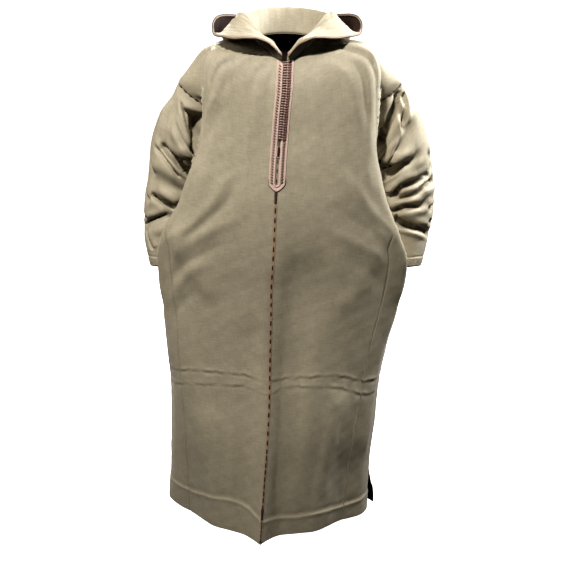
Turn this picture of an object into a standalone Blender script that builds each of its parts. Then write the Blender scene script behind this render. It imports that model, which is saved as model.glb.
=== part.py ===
"""Djellaba: a long hooded robe of wool cloth, worn, with neck, cuffs, pocket slits and hem open.

Frame: metres, +Z up, X across the shoulders, and the front faces -Y.  The origin is the middle
of the neck opening at the top of the shoulders, where the wearer carries the robe.

The body is one surface, body(turn, level).  turn is the angle round the wearer in degrees: 0 is
the centre front, 90 and -90 the side seams, 180 the centre back.  level is the drop of a ring at
the centre front.  Each panel is a piece of that surface with a wall on its inner side.
"""

import bpy
import numpy as np

# ---- driving sizes -----------------------------------------------------------------------------
WALL = 0.002            # cloth, one layer
SEAM_GAP = 0.0003       # clearance between two sewn pieces
RING_GAP = 0.00039      # clearance between a sleeve or the hood and the ring it is sewn to
NECK_LEVEL = 0.068      # point of the front opening below the shoulders
HEM_LEVEL = 1.385       # hem at the centre front below the shoulders
ARMHOLE_TOP = 0.200     # ring that passes the top of the armhole, just past the shoulder point
ARMHOLE_FOOT = 0.370    # ring that passes the armpit
ARMHOLE_TURN = 12.0     # half width of the armhole, degrees of turn
ARMHOLE_POWER = 1.6     # 1 is an oval; more draws its top and foot to points
GORE_TOP = 0.385        # upper point of the side gore, just under the armpit
GORE_SHOULDER = 0.570   # where the gore seam has reached its own line
GORE_SWEEP = 1.6        # how soon it leaves the side seam
GORE_TURN = 50.0        # the gore seam, degrees of turn
SLIT_TOP, SLIT_FOOT = 0.505, 0.640      # hand slit in the side seam
SLIT_HALF = 0.009
VENT_TOP = 1.245        # side vent above the hem
VENT_HALF = 0.011
VENT_SWING = {"back": (0.012, 0.026), "gore_left": (0.008, 0.0)}   # corners that stand out, left, right
SWING_WIDTH = 0.050
SWING_ABOVE = 0.030     # the corners begin to stand out this far above the vent
RIDGE_TURN = 7.0        # how far the centre ridge fades to each side, degrees
TIP_DROP = 0.012        # the hem's point hangs this far below the rest of the hem
TIP_TURN = 12.0         # and fades out over this many degrees
HEM_TILT = 0.065        # fall of the hem towards the right, metres for each metre
TILT_LEVEL = 0.900      # the tilt begins here
GORE_SHIFT = -0.008     # both gore seams lie a little to the wearer's right
GORE_SHIFT_LEVELS = (0.3, 0.6)          # the shift sets in between these rings

PLACKET_HALF = 0.0205   # half width of the braid round the front opening
PLACKET_FOOT = 0.398    # foot of the rounded braid
BRAID_WIDTH = 0.0125
BRAID_THICK = 0.0014
BRAID_INSET = 0.001     # the braid ends this far below the neckline
BEND_CLEAR = 0.010      # no row of its legs comes closer to the bend than this
LADDER_HALF = 0.0055    # half width of the strip of knots
LADDER_FOOT = 0.300
LADDER_INSET = 0.002    # the strip ends this far inside its two ends
LADDER_THICK = 0.0012
KNOT_PITCH = 0.0066
KNOT_RISE = 0.0022
KNOT_LINES = (-1.0, -0.45, 0.45, 1.0)   # lines along the strip, as shares of its half width
LIFT = 0.0005           # clearance of what lies on a panel
TRIM_WIDTH = 0.007      # braid along the hood's edge

# ---- rings of the body -------------------------------------------------------------------------
# A row for each ring, from the neckline to the hem.  side_z and back_z are heights; seam_x is the
# place of the centre seam and drift that of the ring's middle; front_y and ridge give the centre
# front; gore, edge, tuck, arm and side are points round the side (x as a half width, and y):
# gore seam, front fold edge, the hollow behind it, front of the armhole, side seam.
RING_COLUMNS = ("level", "side_z", "back_z", "seam_x", "drift", "front_y", "ridge",
                "gore_x", "gore_y", "edge_x", "edge_y", "tuck_x", "tuck_y",
                "arm_x", "arm_y", "side_x", "side_y", "back_y")
RINGS = (
    (0.068, -0.002, 0.014, 0.000, 0.000, -0.110, 0.000,
     0.058, -0.080, 0.070, -0.055, 0.077, -0.038, 0.082, -0.020, 0.085, 0.005, 0.078),
    (0.100, -0.008, -0.008, -0.002, 0.010, -0.128, 0.000,
     0.135, -0.108, 0.158, -0.082, 0.165, -0.056, 0.168, -0.030, 0.170, 0.005, 0.112),
    (0.140, -0.025, -0.050, -0.004, 0.013, -0.140, 0.000,
     0.185, -0.122, 0.212, -0.095, 0.207, -0.062, 0.217, -0.030, 0.223, 0.005, 0.130),
    (0.180, -0.092, -0.100, -0.008, 0.0145, -0.146, 0.000,
     0.203, -0.128, 0.224, -0.100, 0.204, -0.056, 0.254, -0.030, 0.284, 0.005, 0.138),
    (0.200, -0.120, -0.124, -0.010, 0.014, -0.148, 0.000,
     0.204, -0.129, 0.225, -0.101, 0.202, -0.055, 0.262, -0.030, 0.304, 0.006, 0.139),
    (0.250, -0.190, -0.190, -0.014, 0.011, -0.152, 0.000,
     0.206, -0.130, 0.227, -0.102, 0.196, -0.050, 0.230, -0.026, 0.262, 0.010, 0.142),
    (0.330, -0.290, -0.290, -0.020, 0.003, -0.162, 0.000,
     0.214, -0.132, 0.240, -0.104, 0.198, -0.044, 0.212, -0.016, 0.222, 0.015, 0.142),
    (0.370, -0.345, -0.345, -0.022, -0.005, -0.166, 0.000,
     0.228, -0.132, 0.258, -0.104, 0.206, -0.042, 0.208, -0.010, 0.208, 0.020, 0.140),
    (0.440, -0.440, -0.440, -0.025, -0.009, -0.170, 0.002,
     0.250, -0.128, 0.286, -0.104, 0.222, -0.042, 0.210, -0.008, 0.206, 0.025, 0.140),
    (0.530, -0.530, -0.530, -0.029, -0.012, -0.168, 0.002,
     0.290, -0.115, 0.325, -0.094, 0.264, -0.046, 0.240, -0.012, 0.230, 0.025, 0.142),
    (0.600, -0.600, -0.600, -0.033, -0.007, -0.166, 0.002,
     0.296, -0.102, 0.342, -0.080, 0.300, -0.046, 0.274, -0.014, 0.262, 0.025, 0.145),
    (0.660, -0.660, -0.660, -0.037, -0.008, -0.160, 0.002,
     0.292, -0.096, 0.340, -0.064, 0.320, -0.038, 0.299, -0.010, 0.288, 0.026, 0.148),
    (0.730, -0.730, -0.730, -0.038, -0.012, -0.157, 0.003,
     0.282, -0.092, 0.327, -0.055, 0.331, -0.028, 0.331, 0.000, 0.328, 0.030, 0.152),
    (0.850, -0.850, -0.850, -0.041, -0.023, -0.155, 0.005,
     0.265, -0.092, 0.303, -0.055, 0.313, -0.028, 0.317, 0.002, 0.316, 0.030, 0.160),
    (0.960, -0.960, -0.960, -0.043, -0.029, -0.160, 0.010,
     0.254, -0.088, 0.288, -0.052, 0.298, -0.025, 0.302, 0.002, 0.301, 0.030, 0.166),
    (1.090, -1.088, -1.088, -0.049, -0.035, -0.166, 0.018,
     0.240, -0.085, 0.281, -0.048, 0.293, -0.022, 0.298, 0.004, 0.298, 0.032, 0.172),
    (1.210, -1.195, -1.195, -0.058, -0.043, -0.162, 0.030,
     0.229, -0.073, 0.275, -0.038, 0.288, -0.016, 0.294, 0.006, 0.294, 0.034, 0.178),
    (1.385, -1.362, -1.362, -0.070, -0.047, -0.153, 0.045,
     0.222, -0.058, 0.270, -0.026, 0.284, -0.006, 0.292, 0.012, 0.293, 0.036, 0.184),
)
# Where those points stand, in degrees of turn.
TURN_MID, TURN_EDGE, TURN_TUCK, TURN_ARM, TURN_SIDE = 28.0, 62.0, 70.0, 78.0, 90.0
MID_ACROSS, MID_BACK = 0.58, 0.32       # the point between centre and gore, as shares
BACK_TURNS = (112.0, 135.0, 158.0)      # points round the back, on a squared ellipse
BACK_POWER = 0.8
METRES_PER_DEGREE = 0.0052              # for the width of folds

# Large folds of the body.  Columns: turn and level where the fold starts, turn and level where it
# ends, half width and height in metres.
BODY_FOLDS = (
    (14.0, 0.62, 10.0, 1.38, 0.050, -0.012),
    (-12.0, 0.80, -10.0, 1.38, 0.045, -0.006),
    (-30.0, 0.66, -46.0, 0.52, 0.028, 0.007),
    (33.0, 0.70, 47.0, 0.53, 0.028, 0.006),
    (36.0, 1.00, 32.0, 1.38, 0.045, 0.008),
    (-34.0, 1.05, -30.0, 1.38, 0.045, 0.007),
    (122.0, 0.30, 132.0, 1.38, 0.050, -0.014),
    (-124.0, 0.34, -134.0, 1.38, 0.050, -0.013),
    (152.0, 0.42, 156.0, 1.38, 0.045, 0.012),
    (-150.0, 0.46, -158.0, 1.38, 0.045, 0.011),
    (178.0, 0.70, 179.9, 1.38, 0.050, -0.008),
    (-62.0, 0.26, -64.0, 0.42, 0.040, -0.010),
)

# ---- sections of the sleeve --------------------------------------------------------------------
# A row for each section below the armhole.  Columns: along, outer_left, outer_right, outer_z,
# inner_x, inner_z, mid_y, half_y: the outer line's x on each sleeve, the inner line, the depth.
SLEEVE_SECTIONS = (
    (0.10, 0.307, 0.336, -0.153, 0.224, -0.366, 0.012, 0.052),
    (0.22, 0.341, 0.369, -0.196, 0.230, -0.388, 0.018, 0.060),
    (0.36, 0.371, 0.397, -0.278, 0.236, -0.410, 0.026, 0.067),
    (0.50, 0.383, 0.416, -0.370, 0.238, -0.440, 0.032, 0.071),
    (0.64, 0.397, 0.419, -0.455, 0.242, -0.486, 0.032, 0.067),
    (0.80, 0.398, 0.407, -0.535, 0.264, -0.545, 0.026, 0.060),
    (0.92, 0.390, 0.395, -0.592, 0.288, -0.600, 0.020, 0.054),
    (1.00, 0.381, 0.385, -0.628, 0.302, -0.636, 0.016, 0.050),
)
CUFF_TILT = 0.012       # the cuff's front edge stands this much higher, its back edge lower
TILT_ABOVE = 0.6        # and the section above it this share of that
SLEEVE_FADE = 0.06      # folds fade in over this share of the length beside the armhole
SLEEVE_GIRTH = 0.40     # for the width of folds round the sleeve
SLEEVE_LENGTH = 0.50
# Large folds of the sleeves: from (round, along) to (round, along); round 0 is the outer line,
# 90 the front and 180 the inner line.
SLEEVE_FOLDS = {
    "sleeve_left": (
        (62.0, 0.310, 124.0, 0.262, 0.020, -0.013),
        (74.0, 0.215, 116.0, 0.190, 0.020, 0.007),
        (38.0, 0.500, 108.0, 0.478, 0.018, -0.008),
        (54.0, 0.552, 106.0, 0.592, 0.016, -0.009),
        (28.0, 0.745, 92.0, 0.650, 0.017, -0.010),
        (40.0, 0.110, 66.0, 0.270, 0.022, -0.007),
        (230.0, 0.400, 300.0, 0.520, 0.024, -0.013),
        (240.0, 0.700, 320.0, 0.620, 0.022, -0.011),
        (285.0, 0.100, 270.0, 0.340, 0.024, -0.010),
    ),
    "sleeve_right": (
        (38.0, 0.060, 106.0, 0.085, 0.018, -0.013),
        (46.0, 0.090, 66.0, 0.185, 0.016, -0.008),
        (56.0, 0.240, 116.0, 0.250, 0.018, -0.011),
        (70.0, 0.380, 122.0, 0.312, 0.018, -0.012),
        (24.0, 0.480, 110.0, 0.510, 0.020, -0.013),
        (58.0, 0.605, 118.0, 0.600, 0.015, -0.008),
        (28.0, 0.790, 114.0, 0.655, 0.017, -0.012),
        (235.0, 0.360, 300.0, 0.480, 0.024, -0.013),
        (245.0, 0.720, 320.0, 0.640, 0.022, -0.011),
        (285.0, 0.100, 268.0, 0.340, 0.024, -0.010),
    ),
}

# ---- profiles of the hood ----------------------------------------------------------------------
# A row for each station round the neck, by its angle from the front.  Each profile runs from the
# neck seam over the roll, down its middle to the foot of the bag, up its outer side, to the edge.
HOOD_COLUMNS = ("angle", "roll_r", "roll_z", "mid_r", "mid_z", "foot_r", "foot_z",
                "outer_r", "outer_z", "edge_r", "edge_z")
HOOD_STATIONS = (
    (4.0, 0.116, -0.050, 0.120, -0.049, 0.123, -0.051, 0.126, -0.054, 0.129, -0.058),
    (20.0, 0.103, -0.017, 0.109, -0.015, 0.115, -0.017, 0.121, -0.020, 0.127, -0.025),
    (34.0, 0.105, -0.002, 0.114, 0.000, 0.124, -0.003, 0.134, -0.008, 0.142, -0.014),
    (50.0, 0.104, 0.020, 0.118, 0.018, 0.132, 0.008, 0.147, -0.003, 0.160, -0.014),
    (64.0, 0.104, 0.040, 0.122, 0.034, 0.142, 0.018, 0.162, 0.003, 0.179, -0.009),
    (76.0, 0.114, 0.058, 0.132, 0.046, 0.152, 0.026, 0.173, 0.007, 0.190, 0.000),
    (84.0, 0.118, 0.062, 0.134, 0.044, 0.154, 0.022, 0.176, 0.006, 0.194, 0.012),
    (93.0, 0.113, 0.061, 0.128, 0.034, 0.152, 0.010, 0.180, 0.006, 0.196, 0.032),
    (106.0, 0.110, 0.063, 0.128, 0.026, 0.158, 0.002, 0.190, 0.010, 0.194, 0.056),
    (118.0, 0.107, 0.067, 0.134, 0.018, 0.172, 0.000, 0.204, 0.012, 0.190, 0.064),
    (130.0, 0.106, 0.072, 0.150, 0.010, 0.204, -0.040, 0.218, -0.012, 0.189, 0.066),
    (142.0, 0.105, 0.077, 0.166, -0.026, 0.198, -0.150, 0.222, -0.050, 0.188, 0.066),
    (160.0, 0.104, 0.082, 0.154, -0.090, 0.182, -0.272, 0.217, -0.104, 0.186, 0.064),
    (180.0, 0.103, 0.085, 0.148, -0.125, 0.177, -0.345, 0.216, -0.130, 0.184, 0.062),
)
HOOD_FOOT = 0.58          # share of the profile at the lowest fold of the bag
FOOT_FILL = 0.0035        # the bag's folded foot is this much thicker than one layer
FILL_ANGLES = (120.0, 160.0)            # between these angles the fill sets in
HOOD_RIGHT_WIDER = 0.06   # the right flap reaches this share further out
HOOD_RIGHT_RISE = 0.002   # and stands this much higher
PROFILE_STOPS = (0.0, 0.16, 0.36, 0.58, 0.80, 1.0)     # shares along a profile

# ---- counts ------------------------------------------------------------------------------------
CHEST_ROWS = (0.068, 0.076, 0.088, 0.104, 0.122, 0.140, 0.160, 0.181)
GORE_ROWS = np.array([0.004, 0.026])                    # first rows under the armpit
SIDE_ROWS = np.linspace(0.437, 0.700, 11)
SKIRT_ROWS = np.linspace(0.745, VENT_TOP, 10)
VENT_ROWS = (1.285, 1.322, HEM_LEVEL)
ARMHOLE_STEPS = 10
FRONT_STEPS, GORE_STEPS, BACK_STEPS = 12, 7, 20
FRONT_SPACING = 0.85                                    # below 1 the columns crowd at the side
SLEEVE_STEPS = 18
SLEEVE_SPACING = 1.1                                    # above 1 the rows crowd at the armhole
FRONT_ANGLES = np.linspace(4.0, 76.0, 8)                # columns of the hood's front flaps
BAG_ANGLES = np.linspace(84.0, 180.0, 9)                # and of its bag
BEND_STEPS = 8                                          # round the foot of the braid
HOOD_SHARES = (0.0, 0.06, 0.11, 0.16, 0.22, 0.29, 0.37, 0.46, 0.53, 0.58, 0.63, 0.70, 0.80, 0.90, 1.0)

# ---- how directions are read -------------------------------------------------------------------
PACE_STEP = 0.1                         # degrees of turn to each side
BODY_STEP = (0.5, 0.002)                # turn and level to each side
SLEEVE_STEP = (1.0, 0.01)               # round and along
HOOD_STEP = (0.5, 0.01)                 # angle and share
SLEEVE_INSIDE = (0.012, 0.99)           # ends of the sleeve are read this far inside
HOOD_INSIDE = (0.01, 0.99)
SEAM_LOOK = 0.02                        # the sleeve's direction at its seam is read here
MITRE_AGREE = (-0.2, 0.4)               # how alike two directions must be for a mitred wall
SHARP_ANGLE = 50.0                      # edges beyond this angle are shaded as corners

# ---- finishes: colour and roughness ------------------------------------------------------------
WOOL = ((0.42, 0.35, 0.23), 0.85)
SILK = ((0.50, 0.37, 0.30), 0.70)

# ---- curves ------------------------------------------------------------------------------------


def curve(knots, values, place):
    """Smooth monotone curve through values[..., k] at knots[k], read at place."""
    knots = np.asarray(knots, float)
    step = np.diff(knots)
    rate = np.diff(values, axis=-1) / step
    before, after = rate[..., :-1], rate[..., 1:]
    weight_a, weight_b = 2 * step[1:] + step[:-1], step[1:] + 2 * step[:-1]
    same = before * after > 0
    mean = (weight_a + weight_b) / (weight_a / np.where(same, before, 1.0)
                                    + weight_b / np.where(same, after, 1.0))
    slope = np.concatenate([rate[..., :1], np.where(same, mean, 0.0), rate[..., -1:]], axis=-1)
    spot = np.clip(np.searchsorted(knots, place, side="right") - 1, 0, len(knots) - 2)

    def pick(array, index):
        full = np.broadcast_to(array, place.shape + array.shape[-1:])
        return np.take_along_axis(full, index[..., None], axis=-1)[..., 0]

    width = step[spot]
    u = (place - knots[spot]) / width
    start, end = pick(values, spot), pick(values, spot + 1)
    slope_a, slope_b = pick(slope, spot) * width, pick(slope, spot + 1) * width
    return (start * (1 + 2 * u) * (1 - u) ** 2 + end * u * u * (3 - 2 * u)
            + slope_a * u * (1 - u) ** 2 - slope_b * u * u * (1 - u))


def soft_step(low, high, value):
    """0 below low, 1 above high, smooth between."""
    u = np.clip((value - low) / (high - low), 0.0, 1.0)
    return u * u * (3 - 2 * u)


def fold_height(across, along, folds, scale):
    """Sum of soft ridges and troughs at (across, along); scale turns both into metres."""
    height = np.zeros(np.shape(across))
    for turn_a, level_a, turn_b, level_b, width, rise in folds:
        dx, dy = (turn_b - turn_a) * scale[0], (level_b - level_a) * scale[1]
        px = ((across - turn_a + 180.0) % 360.0 - 180.0) * scale[0]
        py = (along - level_a) * scale[1]
        share = np.clip((px * dx + py * dy) / (dx * dx + dy * dy), 0.0, 1.0)
        gap = np.hypot(px - share * dx, py - share * dy)
        height = height + rise * np.exp(-(gap / width) ** 2)
    return height


# ---- the body surface --------------------------------------------------------------------------


def ring(level):
    """Every column of the ring table, read at each level."""
    table = np.array(RINGS).T
    return {name: curve(table[0], table[k], level) for k, name in enumerate(RING_COLUMNS)}


def body(turn, level):
    """Points of the body surface at turn (degrees) and level (metres)."""
    r = ring(level)
    knots, xs, ys = [0.0], [r["seam_x"]], [r["front_y"]]
    for hand in (-1.0, 1.0):
        gore = r["drift"] + hand * r["gore_x"] + GORE_SHIFT * soft_step(*GORE_SHIFT_LEVELS, level)
        spots = [(TURN_MID, r["seam_x"] + MID_ACROSS * (gore - r["seam_x"]),
                  r["front_y"] + MID_BACK * (r["gore_y"] - r["front_y"])),
                 (GORE_TURN, gore, r["gore_y"])]
        for angle, name in ((TURN_EDGE, "edge"), (TURN_TUCK, "tuck"), (TURN_ARM, "arm"),
                            (TURN_SIDE, "side")):
            spots.append((angle, r["drift"] + hand * r[name + "_x"], r[name + "_y"]))
        for angle in BACK_TURNS:
            swing = np.radians(angle - TURN_SIDE)
            spots.append((angle, r["drift"] + hand * r["side_x"] * np.cos(swing) ** BACK_POWER,
                          r["side_y"] + (r["back_y"] - r["side_y"]) * np.sin(swing) ** BACK_POWER))
        spots.append((180.0, r["drift"], r["back_y"]))
        for angle, x, y in spots:
            knots.append(hand * angle)
            xs.append(x)
            ys.append(y)
    order = np.argsort(knots)
    knots = np.array(knots)[order]
    x = curve(knots, np.stack([xs[k] for k in order], axis=-1), turn)
    y = curve(knots, np.stack([ys[k] for k in order], axis=-1), turn)
    y = y - r["ridge"] * np.exp(-np.abs(turn) / RIDGE_TURN)
    lift = np.sin(np.radians(turn)) ** 2
    ends = np.where(np.abs(turn) < 90.0, -level, r["back_z"])
    z = ends + (r["side_z"] - ends) * lift
    z = z + TIP_DROP * soft_step(VENT_TOP, HEM_LEVEL, level) * (1 - np.exp(-np.abs(turn) / TIP_TURN))
    z = z - HEM_TILT * (x - r["drift"]) * soft_step(TILT_LEVEL, HEM_LEVEL, level)
    height = fold_height(turn, level, BODY_FOLDS, (METRES_PER_DEGREE, 1.0))
    reach = np.hypot(x - r["drift"], y)
    x, y = x + height * (x - r["drift"]) / reach, y + height * y / reach
    return np.stack([x, y, z], axis=-1)


def unit(vector):
    """Vectors scaled to length 1."""
    return vector / np.linalg.norm(vector, axis=-1, keepdims=True)


def normals(surface, a, b, steps):
    """Unit normals of surface(a, b): the side from which a runs right and b runs up."""
    along_a = surface(a + steps[0], b) - surface(a - steps[0], b)
    along_b = surface(a, b + steps[1]) - surface(a, b - steps[1])
    return unit(np.cross(along_a, along_b))


def body_normals(turn, level):
    """Outward normals of the body surface."""
    level = np.clip(level, NECK_LEVEL + BODY_STEP[1], HEM_LEVEL - BODY_STEP[1])
    return -normals(body, turn, level, BODY_STEP)


def ease(turn, level, amount):
    """Turn moved by amount metres round the body."""
    reach = body(turn + PACE_STEP, level) - body(turn - PACE_STEP, level)
    pace = np.linalg.norm(reach, axis=-1) / (2 * PACE_STEP)
    return turn + amount / pace


# ---- meshes ------------------------------------------------------------------------------------


def material(name, colour, roughness):
    """A plain cloth finish."""
    finish = bpy.data.materials.new(name)
    finish.use_nodes = True
    shader = finish.node_tree.nodes["Principled BSDF"]
    shader.inputs["Base Color"].default_value = (*colour, 1.0)
    shader.inputs["Roughness"].default_value = roughness
    shader.inputs["Metallic"].default_value = 0.0
    return finish


def halves(verts, quad):
    """A four-sided face cut along its shorter diagonal."""
    a, b, c, d = quad
    if np.linalg.norm(verts[a] - verts[c]) < np.linalg.norm(verts[b] - verts[d]):
        return (a, b, c), (a, c, d)
    return (a, b, d), (b, c, d)


def shell(name, outer, inner, finish, closed=False):
    """A wall between two grids of points; closed joins the last column to the first."""
    rows, cols = outer.shape[:2]
    count = rows * cols
    verts = np.concatenate([outer.reshape(-1, 3), inner.reshape(-1, 3)])
    span = cols if closed else cols - 1
    faces = []
    for i in range(rows - 1):
        for j in range(span):
            k = (j + 1) % cols
            quad = (i * cols + j, i * cols + k, (i + 1) * cols + k, (i + 1) * cols + j)
            for p, q, r in halves(verts, quad):
                faces.append((p, q, r))
                faces.append((count + r, count + q, count + p))
    rim = [(j, (j + 1) % cols) for j in range(span)]
    rim += [(count - cols + (j + 1) % cols, count - cols + j) for j in range(span)]
    if not closed:
        rim += [((i + 1) * cols, i * cols) for i in range(rows - 1)]
        rim += [((i + 1) * cols - 1, (i + 2) * cols - 1) for i in range(rows - 1)]
    for a, b in rim:
        faces.extend(halves(verts, (b, a, count + a, count + b)))
    if sum(np.dot(verts[p], np.cross(verts[q], verts[r])) for p, q, r in faces) < 0:
        faces = [tuple(reversed(face)) for face in faces]
    mesh = bpy.data.meshes.new(name)
    mesh.from_pydata([tuple(v) for v in verts], [], faces)
    mesh.materials.append(finish)
    mesh.shade_smooth()
    mesh.set_sharp_from_angle(angle=np.radians(SHARP_ANGLE))
    thing = bpy.data.objects.new(name, mesh)
    bpy.context.collection.objects.link(thing)
    return thing


# ---- panels ------------------------------------------------------------------------------------


def armhole_rows():
    """Levels down the armhole, close together at its top and foot."""
    swing = np.linspace(0.0, np.pi, ARMHOLE_STEPS + 1)
    middle, half = (ARMHOLE_TOP + ARMHOLE_FOOT) / 2, (ARMHOLE_FOOT - ARMHOLE_TOP) / 2
    return middle - half * np.cos(swing)


def panel_rows():
    """Levels of all panel rows, from the neckline to the hem."""
    return np.concatenate([CHEST_ROWS, armhole_rows(), [GORE_TOP], GORE_TOP + GORE_ROWS,
                           SIDE_ROWS, SKIRT_ROWS, VENT_ROWS])


def armhole_half(level):
    """Half width of the armhole in degrees of turn."""
    middle, half = (ARMHOLE_TOP + ARMHOLE_FOOT) / 2, (ARMHOLE_FOOT - ARMHOLE_TOP) / 2
    inside = np.clip(1 - ((level - middle) / half) ** 2, 0.0, 1.0)
    return ARMHOLE_TURN * inside ** (ARMHOLE_POWER / 2)


def side_opening(level):
    """Half width in metres of the hand slit, of the vent, or of a closed seam."""
    slit = np.sin(np.pi * np.clip((level - SLIT_TOP) / (SLIT_FOOT - SLIT_TOP), 0.0, 1.0))
    vent = np.clip((level - VENT_TOP) / (HEM_LEVEL - VENT_TOP), 0.0, 1.0)
    return SEAM_GAP / 2 + SLIT_HALF * slit ** 0.6 + VENT_HALF * vent


def side_line(level, hand, towards):
    """Turn of the front (towards -1) or back (+1) edge at the side of the body."""
    edge = TURN_SIDE + towards * armhole_half(level)
    return ease(hand * edge, level, hand * towards * side_opening(level))


def gore_line(level):
    """Turn of the seam between front and gore: the side seam above, the gore seam below."""
    drop = np.clip((level - GORE_TOP) / (GORE_SHOULDER - GORE_TOP), 0.0, 1.0)
    return GORE_TURN + (TURN_SIDE - GORE_TURN) * (1 - drop) ** GORE_SWEEP


def armhole_walls(hand, around):
    """Wall directions of body and sleeve at the armhole seam, mitred where they bend outward."""
    of_body = body_normals(*armhole_point(hand, around))
    surface = sleeve(hand)
    of_sleeve = hand * normals(surface, around, np.full(around.shape, SEAM_LOOK), SLEEVE_STEP)
    agree = np.sum(of_body * of_sleeve, axis=-1, keepdims=True)
    share = soft_step(*MITRE_AGREE, agree)
    body_side = unit(of_body + share * of_sleeve)
    sleeve_side = unit(of_sleeve + share * of_body)
    return body_side, sleeve_side


def body_panel(name, start, end, level, steps, finish, spacing=1.0, armholes=()):
    """A panel between two edges, given as turns at each level.

    armholes lists (column, hand, side) for each edge that runs along an armhole; side is -1 for
    its front edge and 1 for its back edge."""
    share = np.linspace(0.0, 1.0, steps + 1) ** spacing
    turn = start[:, None] + (end - start)[:, None] * share[None, :]
    turn = np.where(turn > 180.0, turn - 360.0, turn)
    rows = np.repeat(level[:, None], steps + 1, axis=1)
    outer = body(turn, rows)
    normal = body_normals(turn, rows)
    for swing, hand in zip(VENT_SWING.get(name, (0.0, 0.0)), (-1.0, 1.0)):
        corner = body(hand * np.full(rows.shape, TURN_SIDE), rows)
        near = np.exp(-(np.linalg.norm(outer - corner, axis=-1) / SWING_WIDTH) ** 2)
        out = hand * swing * near * soft_step(VENT_TOP - SWING_ABOVE, HEM_LEVEL, rows)
        outer = outer + np.stack([out, 0 * out, 0 * out], axis=-1)
    if name.startswith("front"):
        normal[:, 0] = body_normals(np.zeros(len(level)), level)
    first = len(CHEST_ROWS)
    around = np.arange(ARMHOLE_STEPS + 1) * (180.0 / ARMHOLE_STEPS)
    for column, hand, side in armholes:
        walls, _ = armhole_walls(hand, around if side < 0 else 360.0 - around)
        normal[first:first + ARMHOLE_STEPS + 1, column] = walls
    return shell(name, outer, outer - WALL * normal, finish)


def make_fronts(finish):
    """The two front panels, each from the centre seam to the side or gore seam."""
    level = panel_rows()
    for name, hand in (("front_left", -1.0), ("front_right", 1.0)):
        start = ease(np.zeros(len(level)), level, hand * SEAM_GAP / 2)
        side = side_line(level, hand, -1.0)
        gore = ease(hand * gore_line(level), level, -hand * SEAM_GAP / 2)
        end = np.where(level <= GORE_TOP, side, gore)
        body_panel(name, start, end, level, FRONT_STEPS, finish, FRONT_SPACING, [(-1, hand, -1)])


def make_gores(finish):
    """The side gores, from the gore seam to the side seam."""
    level = panel_rows()
    level = level[level > GORE_TOP + 1e-6]
    for name, hand in (("gore_left", -1.0), ("gore_right", 1.0)):
        start = ease(hand * gore_line(level), level, hand * SEAM_GAP / 2)
        end = side_line(level, hand, -1.0)
        body_panel(name, start, end, level, GORE_STEPS, finish)


def make_back(finish):
    """The back panel, from side seam to side seam."""
    level = panel_rows()
    start = side_line(level, 1.0, 1.0)
    end = 360.0 + side_line(level, -1.0, 1.0)
    body_panel("back", start, end, level, BACK_STEPS, finish,
               armholes=[(0, 1.0, 1), (-1, -1.0, 1)])


# ---- sleeves -----------------------------------------------------------------------------------


def armhole_point(hand, around):
    """Turn and level of a place on the armhole: 0 is its top, 90 its front, 180 its foot."""
    swing = np.radians(around)
    middle, half = (ARMHOLE_TOP + ARMHOLE_FOOT) / 2, (ARMHOLE_FOOT - ARMHOLE_TOP) / 2
    wide = np.sign(np.sin(swing)) * np.abs(np.sin(swing)) ** ARMHOLE_POWER
    return hand * (TURN_SIDE - ARMHOLE_TURN * wide), middle - half * np.cos(swing)


def sleeve(hand):
    """The surface of one sleeve as a function of (round, along)."""
    name = "sleeve_left" if hand < 0 else "sleeve_right"
    table = np.array(SLEEVE_SECTIONS).T
    stops = np.concatenate([[0.0], table[0]])

    def surface(around, along):
        swing = np.radians(around)
        loop = body(*armhole_point(hand, around))
        rings = [loop]
        for _, left, right, outer_z, inner_x, inner_z, mid_y, half_y in SLEEVE_SECTIONS:
            outer_x = left if hand < 0 else right
            x = hand * ((outer_x + inner_x) / 2 + (outer_x - inner_x) / 2 * np.cos(swing))
            z = (outer_z + inner_z) / 2 + (outer_z - inner_z) / 2 * np.cos(swing)
            rings.append(np.stack([x, mid_y - half_y * np.sin(swing), z], axis=-1))
        rings[-1][..., 2] += CUFF_TILT * np.sin(swing)
        rings[-2][..., 2] += CUFF_TILT * TILT_ABOVE * np.sin(swing)
        stack = np.stack(rings, axis=-1)
        point = np.stack([curve(stops, stack[..., c, :], along) for c in range(3)], axis=-1)
        scale = (SLEEVE_GIRTH / 360.0, SLEEVE_LENGTH)
        height = fold_height(around, along, SLEEVE_FOLDS[name], scale)
        axis_x = curve(table[0], (table[1] + table[4]) / 2, along) * hand
        axis_y = curve(table[0], table[6], along)
        out = np.stack([point[..., 0] - axis_x, point[..., 1] - axis_y,
                        np.zeros(np.shape(along))], axis=-1)
        fade = np.clip(along / SLEEVE_FADE, 0.0, 1.0)
        return point + (height * fade)[..., None] * unit(out)

    return surface


def make_sleeve(name, hand, finish):
    """One sleeve: a tube from the armhole to the cuff."""
    surface = sleeve(hand)
    around = np.arange(2 * ARMHOLE_STEPS) * (180.0 / ARMHOLE_STEPS)
    along = np.linspace(0.0, 1.0, SLEEVE_STEPS + 1) ** SLEEVE_SPACING
    a, b = np.meshgrid(around, along)
    outer = surface(a, b)
    outer[0] += RING_GAP * unit(surface(a[0], np.full(a[0].shape, SEAM_LOOK)) - outer[0])
    normal = hand * normals(surface, a, np.clip(b, *SLEEVE_INSIDE), SLEEVE_STEP)
    _, normal[0] = armhole_walls(hand, a[0])
    shell(name, outer, outer - WALL * normal, finish, closed=True)


# ---- hood --------------------------------------------------------------------------------------


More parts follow.
